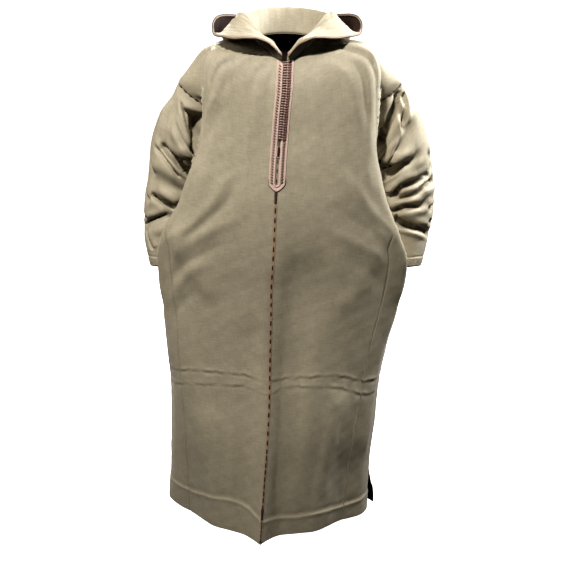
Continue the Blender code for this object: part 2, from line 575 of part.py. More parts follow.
def hood(angle, share):
    """Points of the hood: angle from -180 to 180 round the neck, share along the profile."""
    table = np.array(HOOD_STATIONS).T
    angle = (angle + 180.0) % 360.0 - 180.0
    turn = np.abs(angle)
    hand = np.sign(angle)
    seam = body(angle, np.full(np.shape(angle), NECK_LEVEL))
    swing = np.radians(turn)
    xs, ys, zs = [seam[..., 0]], [seam[..., 1]], [seam[..., 2]]
    right = np.sin(swing) ** 2 * (hand > 0)
    for k in range(1, len(HOOD_COLUMNS), 2):
        reach = curve(table[0], table[k], turn)
        xs.append(hand * reach * (1 + HOOD_RIGHT_WIDER * right) * np.sin(swing))
        ys.append(-reach * np.cos(swing))
        zs.append(curve(table[0], table[k + 1], turn) + HOOD_RIGHT_RISE * right)
    return np.stack([curve(PROFILE_STOPS, np.stack(c, axis=-1), share) for c in (xs, ys, zs)],
                    axis=-1)


def hood_grid(shares):
    """Angles from the left of the front opening round the back to the right."""
    half = np.concatenate([FRONT_ANGLES, BAG_ANGLES[:-1]])
    angle = np.concatenate([-half, [180.0], half[::-1]])
    return np.meshgrid(angle, shares, indexing="ij")


def make_hood(finish, braid):
    """The hood, and the braid laid on its inner side along the edge."""
    angle, share = hood_grid(np.array(HOOD_SHARES))
    outer = hood(angle, share)
    outer[:, 0] += RING_GAP * unit(outer[:, 1] - outer[:, 0])
    normal = normals(hood, angle, np.clip(share, *HOOD_INSIDE), HOOD_STEP)
    depth = np.full(angle.shape, WALL)
    depth[:, HOOD_SHARES.index(HOOD_FOOT)] += FOOT_FILL * soft_step(*FILL_ANGLES, np.abs(angle[:, 0]))
    inner = outer - depth[..., None] * normal
    shell("hood", outer, inner, finish)
    width = np.linalg.norm(inner[:, -2] - inner[:, -1], axis=-1)
    across = (TRIM_WIDTH / width)[:, None]
    under = np.stack([inner[:, -1] + across * (inner[:, -2] - inner[:, -1]), inner[:, -1]], axis=1)
    lift = unit(np.stack([normal[:, -1] + across * (normal[:, -2] - normal[:, -1]),
                          normal[:, -1]], axis=1))
    shell("hood_braid", under - LIFT * lift, under - (LIFT + BRAID_THICK) * lift, braid)


# ---- placket -----------------------------------------------------------------------------------


def on_front(across, level, lift):
    """A point lifted from the front panels, across metres from the centre seam."""
    rows = panel_rows()
    spot = np.clip(np.searchsorted(rows, level, side="right") - 1, 0, len(rows) - 2)
    share = ((level - rows[spot]) / (rows[spot + 1] - rows[spot]))[..., None]

    def row_point(row_level):
        turn = ease(np.zeros(np.shape(row_level)), row_level, across)
        return body(turn, row_level) + lift[..., None] * body_normals(turn, row_level)

    return row_point(rows[spot]) * (1 - share) + row_point(rows[spot + 1]) * share


def make_placket_braid(finish):
    """The braid: down the left of the opening, round its foot and up the right."""
    radius = PLACKET_HALF
    straight_foot = PLACKET_FOOT - radius
    legs = panel_rows()
    legs = np.append(legs[legs < straight_foot - BEND_CLEAR], straight_foot)
    legs[0] += BRAID_INSET
    bend = np.radians(np.linspace(0.0, 180.0, BEND_STEPS + 1))[1:-1]
    path_level = np.concatenate([legs, straight_foot + radius * np.sin(bend), legs[::-1]])
    side = np.concatenate([-np.ones(len(legs)), -np.cos(bend), np.ones(len(legs))])
    drop = np.concatenate([np.zeros(len(legs)), np.sin(bend), np.zeros(len(legs))])
    rows_in = radius - BRAID_WIDTH
    across = np.stack([side * radius, side * rows_in], axis=-1)
    level = np.stack([path_level, path_level - BRAID_WIDTH * drop], axis=-1)
    low = np.full(across.shape, LIFT)
    shell("placket_braid", on_front(across, level, low + BRAID_THICK),
          on_front(across, level, low), finish)


def make_placket_ladder(finish):
    """The strip of small knots down the middle of the opening."""
    count = int((LADDER_FOOT - NECK_LEVEL - 2 * LADDER_INSET) / KNOT_PITCH)
    level = NECK_LEVEL + LADDER_INSET + np.arange(2 * count + 1) * KNOT_PITCH / 2
    across = np.array(KNOT_LINES) * LADDER_HALF
    lv, ac = np.meshgrid(level, across, indexing="ij")
    low = np.full(lv.shape, LIFT)
    knot = np.zeros(lv.shape)
    knot[1::2, 1:3] = KNOT_RISE
    shell("placket_ladder", on_front(ac, lv, low + LADDER_THICK + knot), on_front(ac, lv, low),
          finish)


def main():
    """Clear the scene and make every piece."""
    for thing in list(bpy.data.objects):
        bpy.data.objects.remove(thing, do_unlink=True)
    cloth = material("wool_cloth", *WOOL)
    braid = material("silk_braid", *SILK)
    make_fronts(cloth)
    make_gores(cloth)
    make_back(cloth)
    make_sleeve("sleeve_left", -1.0, cloth)
    make_sleeve("sleeve_right", 1.0, cloth)
    make_hood(cloth, braid)
    make_placket_braid(braid)
    make_placket_ladder(braid)


main()
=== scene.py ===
"""Looks of the djellaba: wool cloth with its folds, silk braid, knots and hand stitching.

Frame: metres, +Z up, the front faces -Y, and the origin is the middle of the neck opening.
The body is one surface, body(turn, level): turn is the angle round the wearer, 0 at the centre
front, 90 and -90 at the side seams; level is the drop of a ring at the centre front.  Each piece of
cloth is a fine grid on such a surface, creased by the fold tables below and given a thin wall.
"""

import bpy
import numpy as np
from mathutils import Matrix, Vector


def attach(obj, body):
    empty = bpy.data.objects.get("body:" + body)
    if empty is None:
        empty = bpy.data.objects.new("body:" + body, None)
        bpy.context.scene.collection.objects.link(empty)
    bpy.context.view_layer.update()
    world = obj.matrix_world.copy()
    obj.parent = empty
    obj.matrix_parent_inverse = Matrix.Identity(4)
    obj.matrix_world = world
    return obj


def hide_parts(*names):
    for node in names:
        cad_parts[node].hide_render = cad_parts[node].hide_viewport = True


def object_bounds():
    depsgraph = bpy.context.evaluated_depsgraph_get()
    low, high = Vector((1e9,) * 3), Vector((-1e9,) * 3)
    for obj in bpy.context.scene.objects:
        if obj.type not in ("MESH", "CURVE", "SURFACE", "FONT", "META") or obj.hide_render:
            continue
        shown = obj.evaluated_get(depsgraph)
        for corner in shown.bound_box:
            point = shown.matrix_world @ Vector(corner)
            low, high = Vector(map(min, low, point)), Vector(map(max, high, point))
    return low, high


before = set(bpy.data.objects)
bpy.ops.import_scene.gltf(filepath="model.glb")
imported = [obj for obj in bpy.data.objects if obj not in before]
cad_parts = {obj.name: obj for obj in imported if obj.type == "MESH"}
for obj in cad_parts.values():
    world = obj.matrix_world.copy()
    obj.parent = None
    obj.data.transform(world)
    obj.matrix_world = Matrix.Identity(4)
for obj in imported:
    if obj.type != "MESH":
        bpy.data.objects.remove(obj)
CAD_BOX = [list(corner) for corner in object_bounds()]

# ---- sizes of the robe, metres ----
WALL = 0.0018           # cloth, one layer
SEAM_GAP = 0.0004       # between two sewn pieces
SEAM_CLEAR = 1.3        # sleeve and hood start this many gaps away from the body
NECK_LEVEL = 0.068      # point of the front opening below the shoulders
HEM_LEVEL = 1.385       # hem at the centre front below the shoulders
ARMHOLE_TOP = 0.200     # ring that passes the top of the armhole, just past the shoulder point
ARMHOLE_FOOT = 0.370    # ring that passes the armpit
ARMHOLE_TURN = 12.0     # half width of the armhole, degrees of turn
ARMHOLE_POWER = 1.6     # 1 is an oval; more draws its top and foot to points
GORE_TOP = 0.385        # upper point of the side gore, just under the armpit
GORE_SHOULDER = 0.570   # where the gore seam has reached its own line
GORE_SWEEP = 1.6        # how soon it leaves the side seam
GORE_TURN = 50.0        # the gore seam, degrees of turn
SLIT_TOP, SLIT_FOOT = 0.505, 0.640      # hand slit in the side seam
SLIT_HALF = 0.009
VENT_TOP = 1.245        # side vent above the hem
VENT_HALF = 0.011
VENT_SWING = {"back": (0.012, 0.026), "gore_left": (0.008, 0.0)}   # corners that stand out, left, right
SWING_WIDTH = 0.050
RIDGE_TURN = 7.0        # how far the centre ridge fades to each side, degrees
TIP_DROP = 0.012        # the hem's point hangs this far below the rest of the hem
TIP_TURN = 12.0         # and fades out over this many degrees
HEM_TILT = 0.065        # fall of the hem towards the right, metres for each metre
TILT_LEVEL = 0.900      # the tilt begins here
GORE_SHIFT = -0.008     # both gore seams lie a little to the wearer's right
GORE_SHIFT_LEVELS = (0.3, 0.6)          # from nothing at the first level to all of it at the second
ARMHOLE_MIDDLE = (ARMHOLE_TOP + ARMHOLE_FOOT) / 2
ARMHOLE_REACH = (ARMHOLE_FOOT - ARMHOLE_TOP) / 2


# ---- rings of the body ----
# A row for each ring, from the neckline to the hem.  side_z and back_z are heights; seam_x is the
# place of the centre seam and drift that of the ring's middle; front_y and ridge give the centre
# front; gore, edge, tuck, arm and side are points round the side (x as a half width, and y):
# gore seam, front fold edge, the hollow behind it, front of the armhole, side seam.
RING_COLUMNS = ("level", "side_z", "back_z", "seam_x", "drift", "front_y", "ridge",
                "gore_x", "gore_y", "edge_x", "edge_y", "tuck_x", "tuck_y",
                "arm_x", "arm_y", "side_x", "side_y", "back_y")
RINGS = (
    (0.068, -0.002, 0.014, 0.000, 0.000, -0.110, 0.000,
     0.058, -0.080, 0.070, -0.055, 0.077, -0.038, 0.082, -0.020, 0.085, 0.005, 0.078),
    (0.100, -0.008, -0.008, -0.002, 0.010, -0.128, 0.000,
     0.135, -0.108, 0.158, -0.082, 0.165, -0.056, 0.168, -0.030, 0.170, 0.005, 0.112),
    (0.140, -0.025, -0.050, -0.004, 0.013, -0.140, 0.000,
     0.185, -0.122, 0.212, -0.095, 0.207, -0.062, 0.217, -0.030, 0.223, 0.005, 0.130),
    (0.180, -0.092, -0.100, -0.008, 0.0145, -0.146, 0.000,
     0.203, -0.128, 0.224, -0.100, 0.204, -0.056, 0.254, -0.030, 0.284, 0.005, 0.138),
    (0.200, -0.120, -0.124, -0.010, 0.014, -0.148, 0.000,
     0.204, -0.129, 0.225, -0.101, 0.202, -0.055, 0.262, -0.030, 0.304, 0.006, 0.139),
    (0.250, -0.190, -0.190, -0.014, 0.011, -0.152, 0.000,
     0.206, -0.130, 0.227, -0.102, 0.196, -0.050, 0.230, -0.026, 0.262, 0.010, 0.142),
    (0.330, -0.290, -0.290, -0.020, 0.003, -0.162, 0.000,
     0.214, -0.132, 0.240, -0.104, 0.198, -0.044, 0.212, -0.016, 0.222, 0.015, 0.142),
    (0.370, -0.345, -0.345, -0.022, -0.005, -0.166, 0.000,
     0.228, -0.132, 0.258, -0.104, 0.206, -0.042, 0.208, -0.010, 0.208, 0.020, 0.140),
    (0.440, -0.440, -0.440, -0.025, -0.009, -0.170, 0.002,
     0.250, -0.128, 0.286, -0.104, 0.222, -0.042, 0.210, -0.008, 0.206, 0.025, 0.140),
    (0.530, -0.530, -0.530, -0.029, -0.012, -0.168, 0.002,
     0.290, -0.115, 0.325, -0.094, 0.264, -0.046, 0.240, -0.012, 0.230, 0.025, 0.142),
    (0.600, -0.600, -0.600, -0.033, -0.007, -0.166, 0.002,
     0.296, -0.102, 0.342, -0.080, 0.300, -0.046, 0.274, -0.014, 0.262, 0.025, 0.145),
    (0.660, -0.660, -0.660, -0.037, -0.008, -0.160, 0.002,
     0.292, -0.096, 0.340, -0.064, 0.320, -0.038, 0.299, -0.010, 0.288, 0.026, 0.148),
    (0.730, -0.730, -0.730, -0.038, -0.012, -0.157, 0.003,
     0.282, -0.092, 0.327, -0.055, 0.331, -0.028, 0.331, 0.000, 0.328, 0.030, 0.152),
    (0.850, -0.850, -0.850, -0.041, -0.023, -0.155, 0.005,
     0.265, -0.092, 0.303, -0.055, 0.313, -0.028, 0.317, 0.002, 0.316, 0.030, 0.160),
    (0.960, -0.960, -0.960, -0.043, -0.029, -0.160, 0.010,
     0.254, -0.088, 0.288, -0.052, 0.298, -0.025, 0.302, 0.002, 0.301, 0.030, 0.166),
    (1.090, -1.088, -1.088, -0.049, -0.035, -0.166, 0.018,
     0.240, -0.085, 0.281, -0.048, 0.293, -0.022, 0.298, 0.004, 0.298, 0.032, 0.172),
    (1.210, -1.195, -1.195, -0.058, -0.043, -0.162, 0.030,
     0.229, -0.073, 0.275, -0.038, 0.288, -0.016, 0.294, 0.006, 0.294, 0.034, 0.178),
    (1.385, -1.362, -1.362, -0.070, -0.047, -0.153, 0.045,
     0.222, -0.058, 0.270, -0.026, 0.284, -0.006, 0.292, 0.012, 0.293, 0.036, 0.184),
)
# Where those points stand, in degrees of turn.
TURN_MID, TURN_EDGE, TURN_TUCK, TURN_ARM, TURN_SIDE = 28.0, 62.0, 70.0, 78.0, 90.0
MID_ACROSS, MID_BACK = 0.58, 0.32       # the point between centre and gore, as shares
BACK_TURNS = (112.0, 135.0, 158.0)      # points round the back, on a squared ellipse
BACK_POWER = 0.8
METRES_PER_DEGREE = 0.0052              # for the width of folds

# Large folds of the body.  Columns: turn and level where the fold starts, turn and level where it
# ends, half width and height in metres.
BODY_FOLDS = (
    (14.0, 0.62, 10.0, 1.38, 0.050, -0.012),
    (-12.0, 0.80, -10.0, 1.38, 0.045, -0.006),
    (-30.0, 0.66, -46.0, 0.52, 0.028, 0.007),
    (33.0, 0.70, 47.0, 0.53, 0.028, 0.006),
    (36.0, 1.00, 32.0, 1.38, 0.045, 0.008),
    (-34.0, 1.05, -30.0, 1.38, 0.045, 0.007),
    (122.0, 0.30, 132.0, 1.38, 0.050, -0.014),
    (-124.0, 0.34, -134.0, 1.38, 0.050, -0.013),
    (152.0, 0.42, 156.0, 1.38, 0.045, 0.012),
    (-150.0, 0.46, -158.0, 1.38, 0.045, 0.011),
    (178.0, 0.70, 179.9, 1.38, 0.050, -0.008),
    (-62.0, 0.26, -64.0, 0.42, 0.040, -0.010),
)

# ---- sections of the sleeve ----
# A row for each section below the armhole.  Columns: along, outer_left, outer_right, outer_z,
# inner_x, inner_z, mid_y, half_y: the outer line's x on each sleeve, the inner line, the depth.
SLEEVE_SECTIONS = (
    (0.10, 0.307, 0.336, -0.153, 0.224, -0.366, 0.012, 0.052),
    (0.22, 0.341, 0.369, -0.196, 0.230, -0.388, 0.018, 0.060),
    (0.36, 0.371, 0.397, -0.278, 0.236, -0.410, 0.026, 0.067),
    (0.50, 0.383, 0.416, -0.370, 0.238, -0.440, 0.032, 0.071),
    (0.64, 0.397, 0.419, -0.455, 0.242, -0.486, 0.032, 0.067),
    (0.80, 0.398, 0.407, -0.535, 0.264, -0.545, 0.026, 0.060),
    (0.92, 0.390, 0.395, -0.592, 0.288, -0.600, 0.020, 0.054),
    (1.00, 0.381, 0.385, -0.628, 0.302, -0.636, 0.016, 0.050),
)
CUFF_TILT = 0.012       # the cuff's front edge stands this much higher, its back edge lower
CUFF_TILT_SHARE = 0.6   # the section above the cuff tilts this share of it
SLEEVE_GIRTH = 0.40     # for the width of folds round the sleeve
SLEEVE_LENGTH = 0.50
SLEEVE_SCALE = (SLEEVE_GIRTH / 360.0, SLEEVE_LENGTH)
SLEEVE_FADE = 0.06      # large folds grow from nothing over this share below the armhole
# Large folds of the sleeves: from (round, along) to (round, along); round 0 is the outer line,
# 90 the front and 180 the inner line.
SLEEVE_FOLDS = {
    "sleeve_left": (
        (62.0, 0.310, 124.0, 0.262, 0.020, -0.013),
        (74.0, 0.215, 116.0, 0.190, 0.020, 0.007),
        (38.0, 0.500, 108.0, 0.478, 0.018, -0.008),
        (54.0, 0.552, 106.0, 0.592, 0.016, -0.009),
        (28.0, 0.745, 92.0, 0.650, 0.017, -0.010),
        (40.0, 0.110, 66.0, 0.270, 0.022, -0.007),
        (230.0, 0.400, 300.0, 0.520, 0.024, -0.013),
        (240.0, 0.700, 320.0, 0.620, 0.022, -0.011),
        (285.0, 0.100, 270.0, 0.340, 0.024, -0.010),
    ),
    "sleeve_right": (
        (38.0, 0.060, 106.0, 0.085, 0.018, -0.013),
        (46.0, 0.090, 66.0, 0.185, 0.016, -0.008),
        (56.0, 0.240, 116.0, 0.250, 0.018, -0.011),
        (70.0, 0.380, 122.0, 0.312, 0.018, -0.012),
        (24.0, 0.480, 110.0, 0.510, 0.020, -0.013),
        (58.0, 0.605, 118.0, 0.600, 0.015, -0.008),
        (28.0, 0.790, 114.0, 0.655, 0.017, -0.012),
        (235.0, 0.360, 300.0, 0.480, 0.024, -0.013),
        (245.0, 0.720, 320.0, 0.640, 0.022, -0.011),
        (285.0, 0.100, 268.0, 0.340, 0.024, -0.010),
    ),
}

# ---- profiles of the hood ----
# A row for each station round the neck, by its angle from the front.  Each profile runs from the
# neck seam over the roll, down its middle to the foot of the bag, up its outer side, to the edge.
HOOD_COLUMNS = ("angle", "roll_r", "roll_z", "mid_r", "mid_z", "foot_r", "foot_z",
                "outer_r", "outer_z", "edge_r", "edge_z")
HOOD_STATIONS = (
    (4.0, 0.116, -0.050, 0.120, -0.049, 0.123, -0.051, 0.126, -0.054, 0.129, -0.058),
    (20.0, 0.103, -0.017, 0.109, -0.015, 0.115, -0.017, 0.121, -0.020, 0.127, -0.025),
    (34.0, 0.105, -0.002, 0.114, 0.000, 0.124, -0.003, 0.134, -0.008, 0.142, -0.014),
    (50.0, 0.104, 0.020, 0.118, 0.018, 0.132, 0.008, 0.147, -0.003, 0.160, -0.014),
    (64.0, 0.104, 0.040, 0.122, 0.034, 0.142, 0.018, 0.162, 0.003, 0.179, -0.009),
    (76.0, 0.114, 0.058, 0.132, 0.046, 0.152, 0.026, 0.173, 0.007, 0.190, 0.000),
    (84.0, 0.118, 0.062, 0.134, 0.044, 0.154, 0.022, 0.176, 0.006, 0.194, 0.012),
    (93.0, 0.113, 0.061, 0.128, 0.034, 0.152, 0.010, 0.180, 0.006, 0.196, 0.032),
    (106.0, 0.110, 0.063, 0.128, 0.026, 0.158, 0.002, 0.190, 0.010, 0.194, 0.056),
    (118.0, 0.107, 0.067, 0.134, 0.018, 0.172, 0.000, 0.204, 0.012, 0.190, 0.064),
    (130.0, 0.106, 0.072, 0.150, 0.010, 0.204, -0.040, 0.218, -0.012, 0.189, 0.066),
    (142.0, 0.105, 0.077, 0.166, -0.026, 0.198, -0.150, 0.222, -0.050, 0.188, 0.066),
    (160.0, 0.104, 0.082, 0.154, -0.090, 0.182, -0.272, 0.217, -0.104, 0.186, 0.064),
    (180.0, 0.103, 0.085, 0.148, -0.125, 0.177, -0.345, 0.216, -0.130, 0.184, 0.062),
)
HOOD_FOOT = 0.58          # share of the profile at the lowest fold of the bag
HOOD_RIGHT_WIDER = 0.06   # the right flap reaches this share further out
HOOD_RIGHT_RISE = 0.002   # and stands this much higher
PROFILE_STOPS = (0.0, 0.16, 0.36, 0.58, 0.80, 1.0)     # shares along a profile


# ---- sizes of the trimmings ----
PLACKET_TOP = 0.0705     # level where the braid begins
PLACKET_BEND = 0.379     # level where its legs turn in
PLACKET_OUT = 0.0212     # from the braid's middle to its outer edge
PLACKET_IN = 0.0045      # and to its inner edge
PLACKET_SHIFT = 0.0012   # the braid's middle beside the centre seam
TAPE_CROWN = (0.0010, 0.0018, 0.0019, 0.0015, 0.0012, 0.0015, 0.0019, 0.0018, 0.0010)
TAPE_STEP = 0.0026       # length of a cell of the braid's woven ground
TAPE_WALL = 0.0010
FOOT_DROP = 0.0195       # depth of its pointed foot
FOOT_POWER = 1.35        # 1 is a point, 2 a half circle
CORD_RADIUS = 0.00115    # cords along the braid's edges
CORD_PITCH = 0.0042      # twist of every cord
CORD_STEPS = 6           # points along each twist
CORD_SIDES = 5           # sides of each ply
STITCH_PITCH = 0.0070    # slanted stitches in the braid
STITCH_HALF = 0.0034
STITCH_RADIUS = 0.0011
LADDER_FROM, LADDER_TO = -0.0030, 0.0172     # strip of knots, beside the centre seam
LADDER_END = 0.268
KNOT_PITCH = 0.0064
KNOT_AT = 0.0098         # middle of a knot
KNOT_SIZE = 0.0018
KNOT_CORD = 0.0009
BAR_RADIUS = 0.00105
SLOT_TOP, SLOT_FOOT = 0.2844, 0.3085       # bar under the last knot
SLOT_AT = 0.0018
SLOT_HALF = 0.0030
TIP_BAR_TOP, TIP_BAR_FOOT = 0.3985, 0.4300
FOOT_BAR_TOP, FOOT_BAR_FOOT = 1.278, 1.311
THREAD_PITCH = 0.0011
SEAM_DASH_TOP = 0.4400   # first dash of the decoration down the centre seam
SEAM_DASH_FOOT = 1.118
SEAM_DASH_PITCH = 0.0255
SEAM_DASH_LONG = 0.0145
SEAM_DASH_HALF = 0.0022
# The dashes above them: level, length, half width, place beside the seam.
UPPER_DASHES = ((0.3175, 0.0090, 0.0016, 0.0010), (0.3400, 0.0090, 0.0016, 0.0004),
                (0.3660, 0.0100, 0.0016, 0.0))
# And below them: from level to level, pitch, length, half width.
LOWER_DASHES = ((1.120, 1.270, 0.0205, 0.0175, 0.0019), (1.312, 1.374, 0.0130, 0.0120, 0.0015))
SEAM_BRAID_HALF = 0.0046
SEAM_BRAID_WALL = 0.0007
HEM_STITCH = 0.010       # machine stitches above the hem's edge
CUFF_STITCH = 0.008      # above the cuff's
SLIT_STITCH = 0.006      # and beside hand slits and vents, between these levels
SLIT_STITCHED = ((SLIT_TOP - 0.012, SLIT_FOOT + 0.012), (VENT_TOP - 0.01, HEM_LEVEL - 0.004))
STITCH_STEP = 0.0036     # machine stitches: from one to the next
STITCH_LONG = 0.0027
THREAD = 0.00034
THREAD_LIFT = 0.0001
HAND_STEP, HAND_LONG = 0.0195, 0.0125    # hand stitches round the armholes
HAND_AWAY = 0.0050       # from the seam
HAND_THREAD, HAND_RISE = 0.0017, 0.0010
TRIM_WIDTH = 0.0040      # braid along the hood's edge
TRIM_WALL = 0.0009
RIM_CORD, INNER_CORD = 0.0012, 0.0008    # cords on both sides of it

# ---- creases ----
# Soft folds of the body.  Columns: turn and level where the crease starts, turn and level where it
# ends, bow (how far it bends sideways), half width and height in metres, and lean, the share by which
# the cloth is pushed over the crease's lower side.
BODY_CREASES = (
    # chest, wearer's right
    (-44.0, 0.115, -51.0, 0.205, 0.004, 0.011, -0.0030, 0.0),
    (-37.0, 0.150, -44.0, 0.205, 0.000, 0.014, -0.0026, 0.0),
    (-44.0, 0.185, -60.0, 0.290, 0.006, 0.013, 0.0030, 0.0),
    (-35.0, 0.200, -52.0, 0.300, 0.008, 0.020, -0.0030, 0.0),
    (-16.0, 0.130, -22.0, 0.330, 0.004, 0.030, 0.0018, 0.0),
    # chest, wearer's left
    (37.0, 0.105, 42.0, 0.250, 0.006, 0.014, 0.0036, 0.0),
    (46.0, 0.120, 50.0, 0.255, 0.006, 0.012, -0.0042, 0.0),
    (28.0, 0.120, 30.0, 0.210, 0.000, 0.016, -0.0018, 0.0),
    (54.0, 0.240, 50.0, 0.420, 0.008, 0.020, 0.0026, 0.0),
    # deep folds where the chest stands off from the arms
    (-61.0, 0.090, -66.0, 0.350, 0.002, 0.0070, -0.0260, 0.8),
    (66.0, 0.350, 61.0, 0.085, -0.002, 0.0070, -0.0280, 0.8),
    # pulls towards the hand slits
    (-26.0, 0.355, -46.0, 0.590, 0.012, 0.018, 0.0040, 0.0),
    (-22.0, 0.400, -42.0, 0.560, 0.010, 0.016, -0.0036, 0.0),
    (-18.0, 0.465, -50.0, 0.610, 0.014, 0.017, 0.0036, 0.0),
    (-20.0, 0.530, -50.0, 0.650, 0.010, 0.014, -0.0028, 0.0),
    (-30.0, 0.585, -54.0, 0.720, 0.010, 0.016, 0.0036, 0.0),
    (-34.0, 0.660, -52.0, 0.760, 0.006, 0.014, -0.0022, 0.0),
    (34.0, 0.360, 56.0, 0.540, -0.010, 0.018, 0.0028, 0.0),
    (26.0, 0.430, 52.0, 0.580, -0.010, 0.018, -0.0028, 0.0),
    (22.0, 0.500, 50.0, 0.610, -0.010, 0.016, 0.0028, 0.0),
    (30.0, 0.580, 54.0, 0.700, -0.008, 0.016, -0.0020, 0.0),
    # length of the skirt
    (-3.5, 0.600, -3.0, 1.330, 0.004, 0.016, 0.0036, 0.0),
    (8.5, 0.600, 8.0, 1.350, 0.006, 0.024, -0.0060, 0.0),
    (-18.0, 0.760, -19.0, 1.260, 0.006, 0.022, 0.0024, 0.0),
    (-27.0, 0.900, -24.0, 1.270, -0.004, 0.018, -0.0024, 0.0),
    (-40.0, 0.800, -37.0, 1.230, 0.006, 0.020, 0.0020, 0.0),
    (21.0, 0.740, 22.0, 1.290, 0.006, 0.022, 0.0026, 0.0),
    (29.0, 0.960, 27.0, 1.290, -0.004, 0.016, -0.0026, 0.0),
    (42.0, 0.780, 40.0, 1.250, 0.006, 0.018, -0.0022, 0.0),
    # the hollow beside the chest, in front of the armhole
    (-76.0, 0.225, -77.0, 0.375, 0.000, 0.026, -0.032, 0.0),
    (76.0, 0.225, 77.0, 0.375, 0.000, 0.026, -0.032, 0.0),
    # between armhole and gore, both sides
    (66.0, 0.300, 70.0, 0.520, 0.004, 0.012, -0.0040, 0.0),
    (-66.0, 0.300, -70.0, 0.520, 0.004, 0.012, -0.0040, 0.0),
    # gores and side seams
    (-68.0, 0.700, -66.0, 1.150, 0.004, 0.016, -0.0034, 0.0),
    (67.0, 0.760, 66.0, 1.220, -0.004, 0.014, -0.0032, 0.0),
    (80.0, 0.560, 79.0, 0.900, 0.004, 0.012, 0.0026, 0.0),
    (-80.0, 0.620, -78.0, 1.000, 0.004, 0.012, 0.0026, 0.0),
    # back
    (104.0, 0.360, 112.0, 0.900, 0.006, 0.024, -0.0055, 0.0),
    (-103.0, 0.340, -110.0, 0.820, 0.008, 0.024, -0.0050, 0.0),
    (113.0, 0.700, 112.0, 1.330, -0.006, 0.022, 0.0050, 0.0),
    (-114.0, 0.620, -112.0, 1.300, 0.006, 0.024, 0.0046, 0.0),
    (143.0, 0.250, 140.0, 0.760, 0.010, 0.026, -0.0050, 0.0),
    (-140.0, 0.280, -146.0, 0.880, 0.008, 0.026, -0.0050, 0.0),
    (168.0, 0.500, 166.0, 1.340, 0.006, 0.028, -0.0046, 0.0),
    (-168.0, 0.420, -166.0, 1.200, 0.006, 0.026, 0.0042, 0.0),
    (178.0, 0.240, 176.0, 0.560, 0.006, 0.030, 0.0032, 0.0),
    (128.0, 0.160, 150.0, 0.260, 0.006, 0.018, -0.0036, 0.0),
    (-126.0, 0.150, -148.0, 0.280, 0.006, 0.018, -0.0036, 0.0),
    (118.0, 0.520, 146.0, 0.620, 0.010, 0.020, -0.0024, 0.0),
    (-120.0, 0.560, -150.0, 0.640, 0.010, 0.020, -0.0024, 0.0),
)

# Creases pressed into the cloth when it was packed: rows of (turn, level, depth).
PRESSED_CREASES = (
    ((-180.0, 0.918, 0.0006), (-130.0, 0.924, 0.0010), (-90.0, 0.915, 0.0007), (-56.0, 0.912, 0.0010),
     (-37.0, 0.900, 0.0014), (-15.0, 0.904, 0.0013), (-2.5, 0.920, 0.0007), (10.5, 0.916, 0.0013),
     (30.0, 0.912, 0.0010), (54.0, 0.944, 0.0012), (90.0, 0.935, 0.0007), (130.0, 0.922, 0.0011),
     (180.0, 0.918, 0.0006)),
    ((-180.0, 0.955, 0.0007), (-120.0, 0.950, 0.0003), (-80.0, 0.962, 0.0007), (-53.0, 0.952, 0.0009),
     (-37.0, 0.940, 0.0007), (-15.5, 0.936, 0.0010), (-2.0, 0.956, 0.0004), (11.0, 0.940, 0.0010),
     (30.0, 0.944, 0.0008), (55.0, 0.984, 0.0010), (90.0, 0.972, 0.0004), (130.0, 0.958, 0.0007),
     (180.0, 0.955, 0.0007)),
    ((-180.0, 0.520, 0.0007), (-130.0, 0.512, 0.0009), (-90.0, 0.520, 0.0001), (0.0, 0.520, 0.0000),
     (90.0, 0.520, 0.0001), (130.0, 0.526, 0.0009), (180.0, 0.520, 0.0007)),
)
PRESSED_WIDTH = 0.0048
# Section of a pressed crease, a sum of soft bumps: height, place and width of each, in its widths.
PRESSED_SECTION = ((1.1, -1.6, 1.3), (-0.8, 0.0, 1.0), (0.30, 4.0, 2.5))
# Its line wanders and its depth varies in waves: size, waves round the body, phase from crease to crease.
PRESSED_WANDER = ((0.0012, 48, 2.0), (0.0009, 98, 1.0))
PRESSED_UNEVEN = ((0.30, 21, 1.7), (0.22, 52, 4.0))
PRESSED_DEPTH = 0.62     # the share of its depth that it keeps between the waves
PRESSED_LIMITS = (0.12, 1.1)
# Top of the turned-up hem: (turn, level); the cloth is thicker below it.
HEM_FOLD = ((-180.0, 1.318), (-130.0, 1.312), (-90.0, 1.306), (-49.5, 1.304), (-35.0, 1.288),
            (-20.0, 1.279), (-9.5, 1.291), (-3.0, 1.306), (3.0, 1.319), (19.0, 1.327), (31.0, 1.321),
            (48.0, 1.331), (71.0, 1.320), (90.0, 1.318), (130.0, 1.322), (180.0, 1.318))
HEM_STEP = 0.0013        # how far the turned-up hem stands out
HEM_BEAD = 0.0009        # and the rounded fold at its top
HEM_EDGE = 0.0030        # half width of the step
HEM_ROUND = 0.008        # width of the rounded fold
BEAD_FURROW = 0.6        # the furrow beside a turned edge, as a share of its height

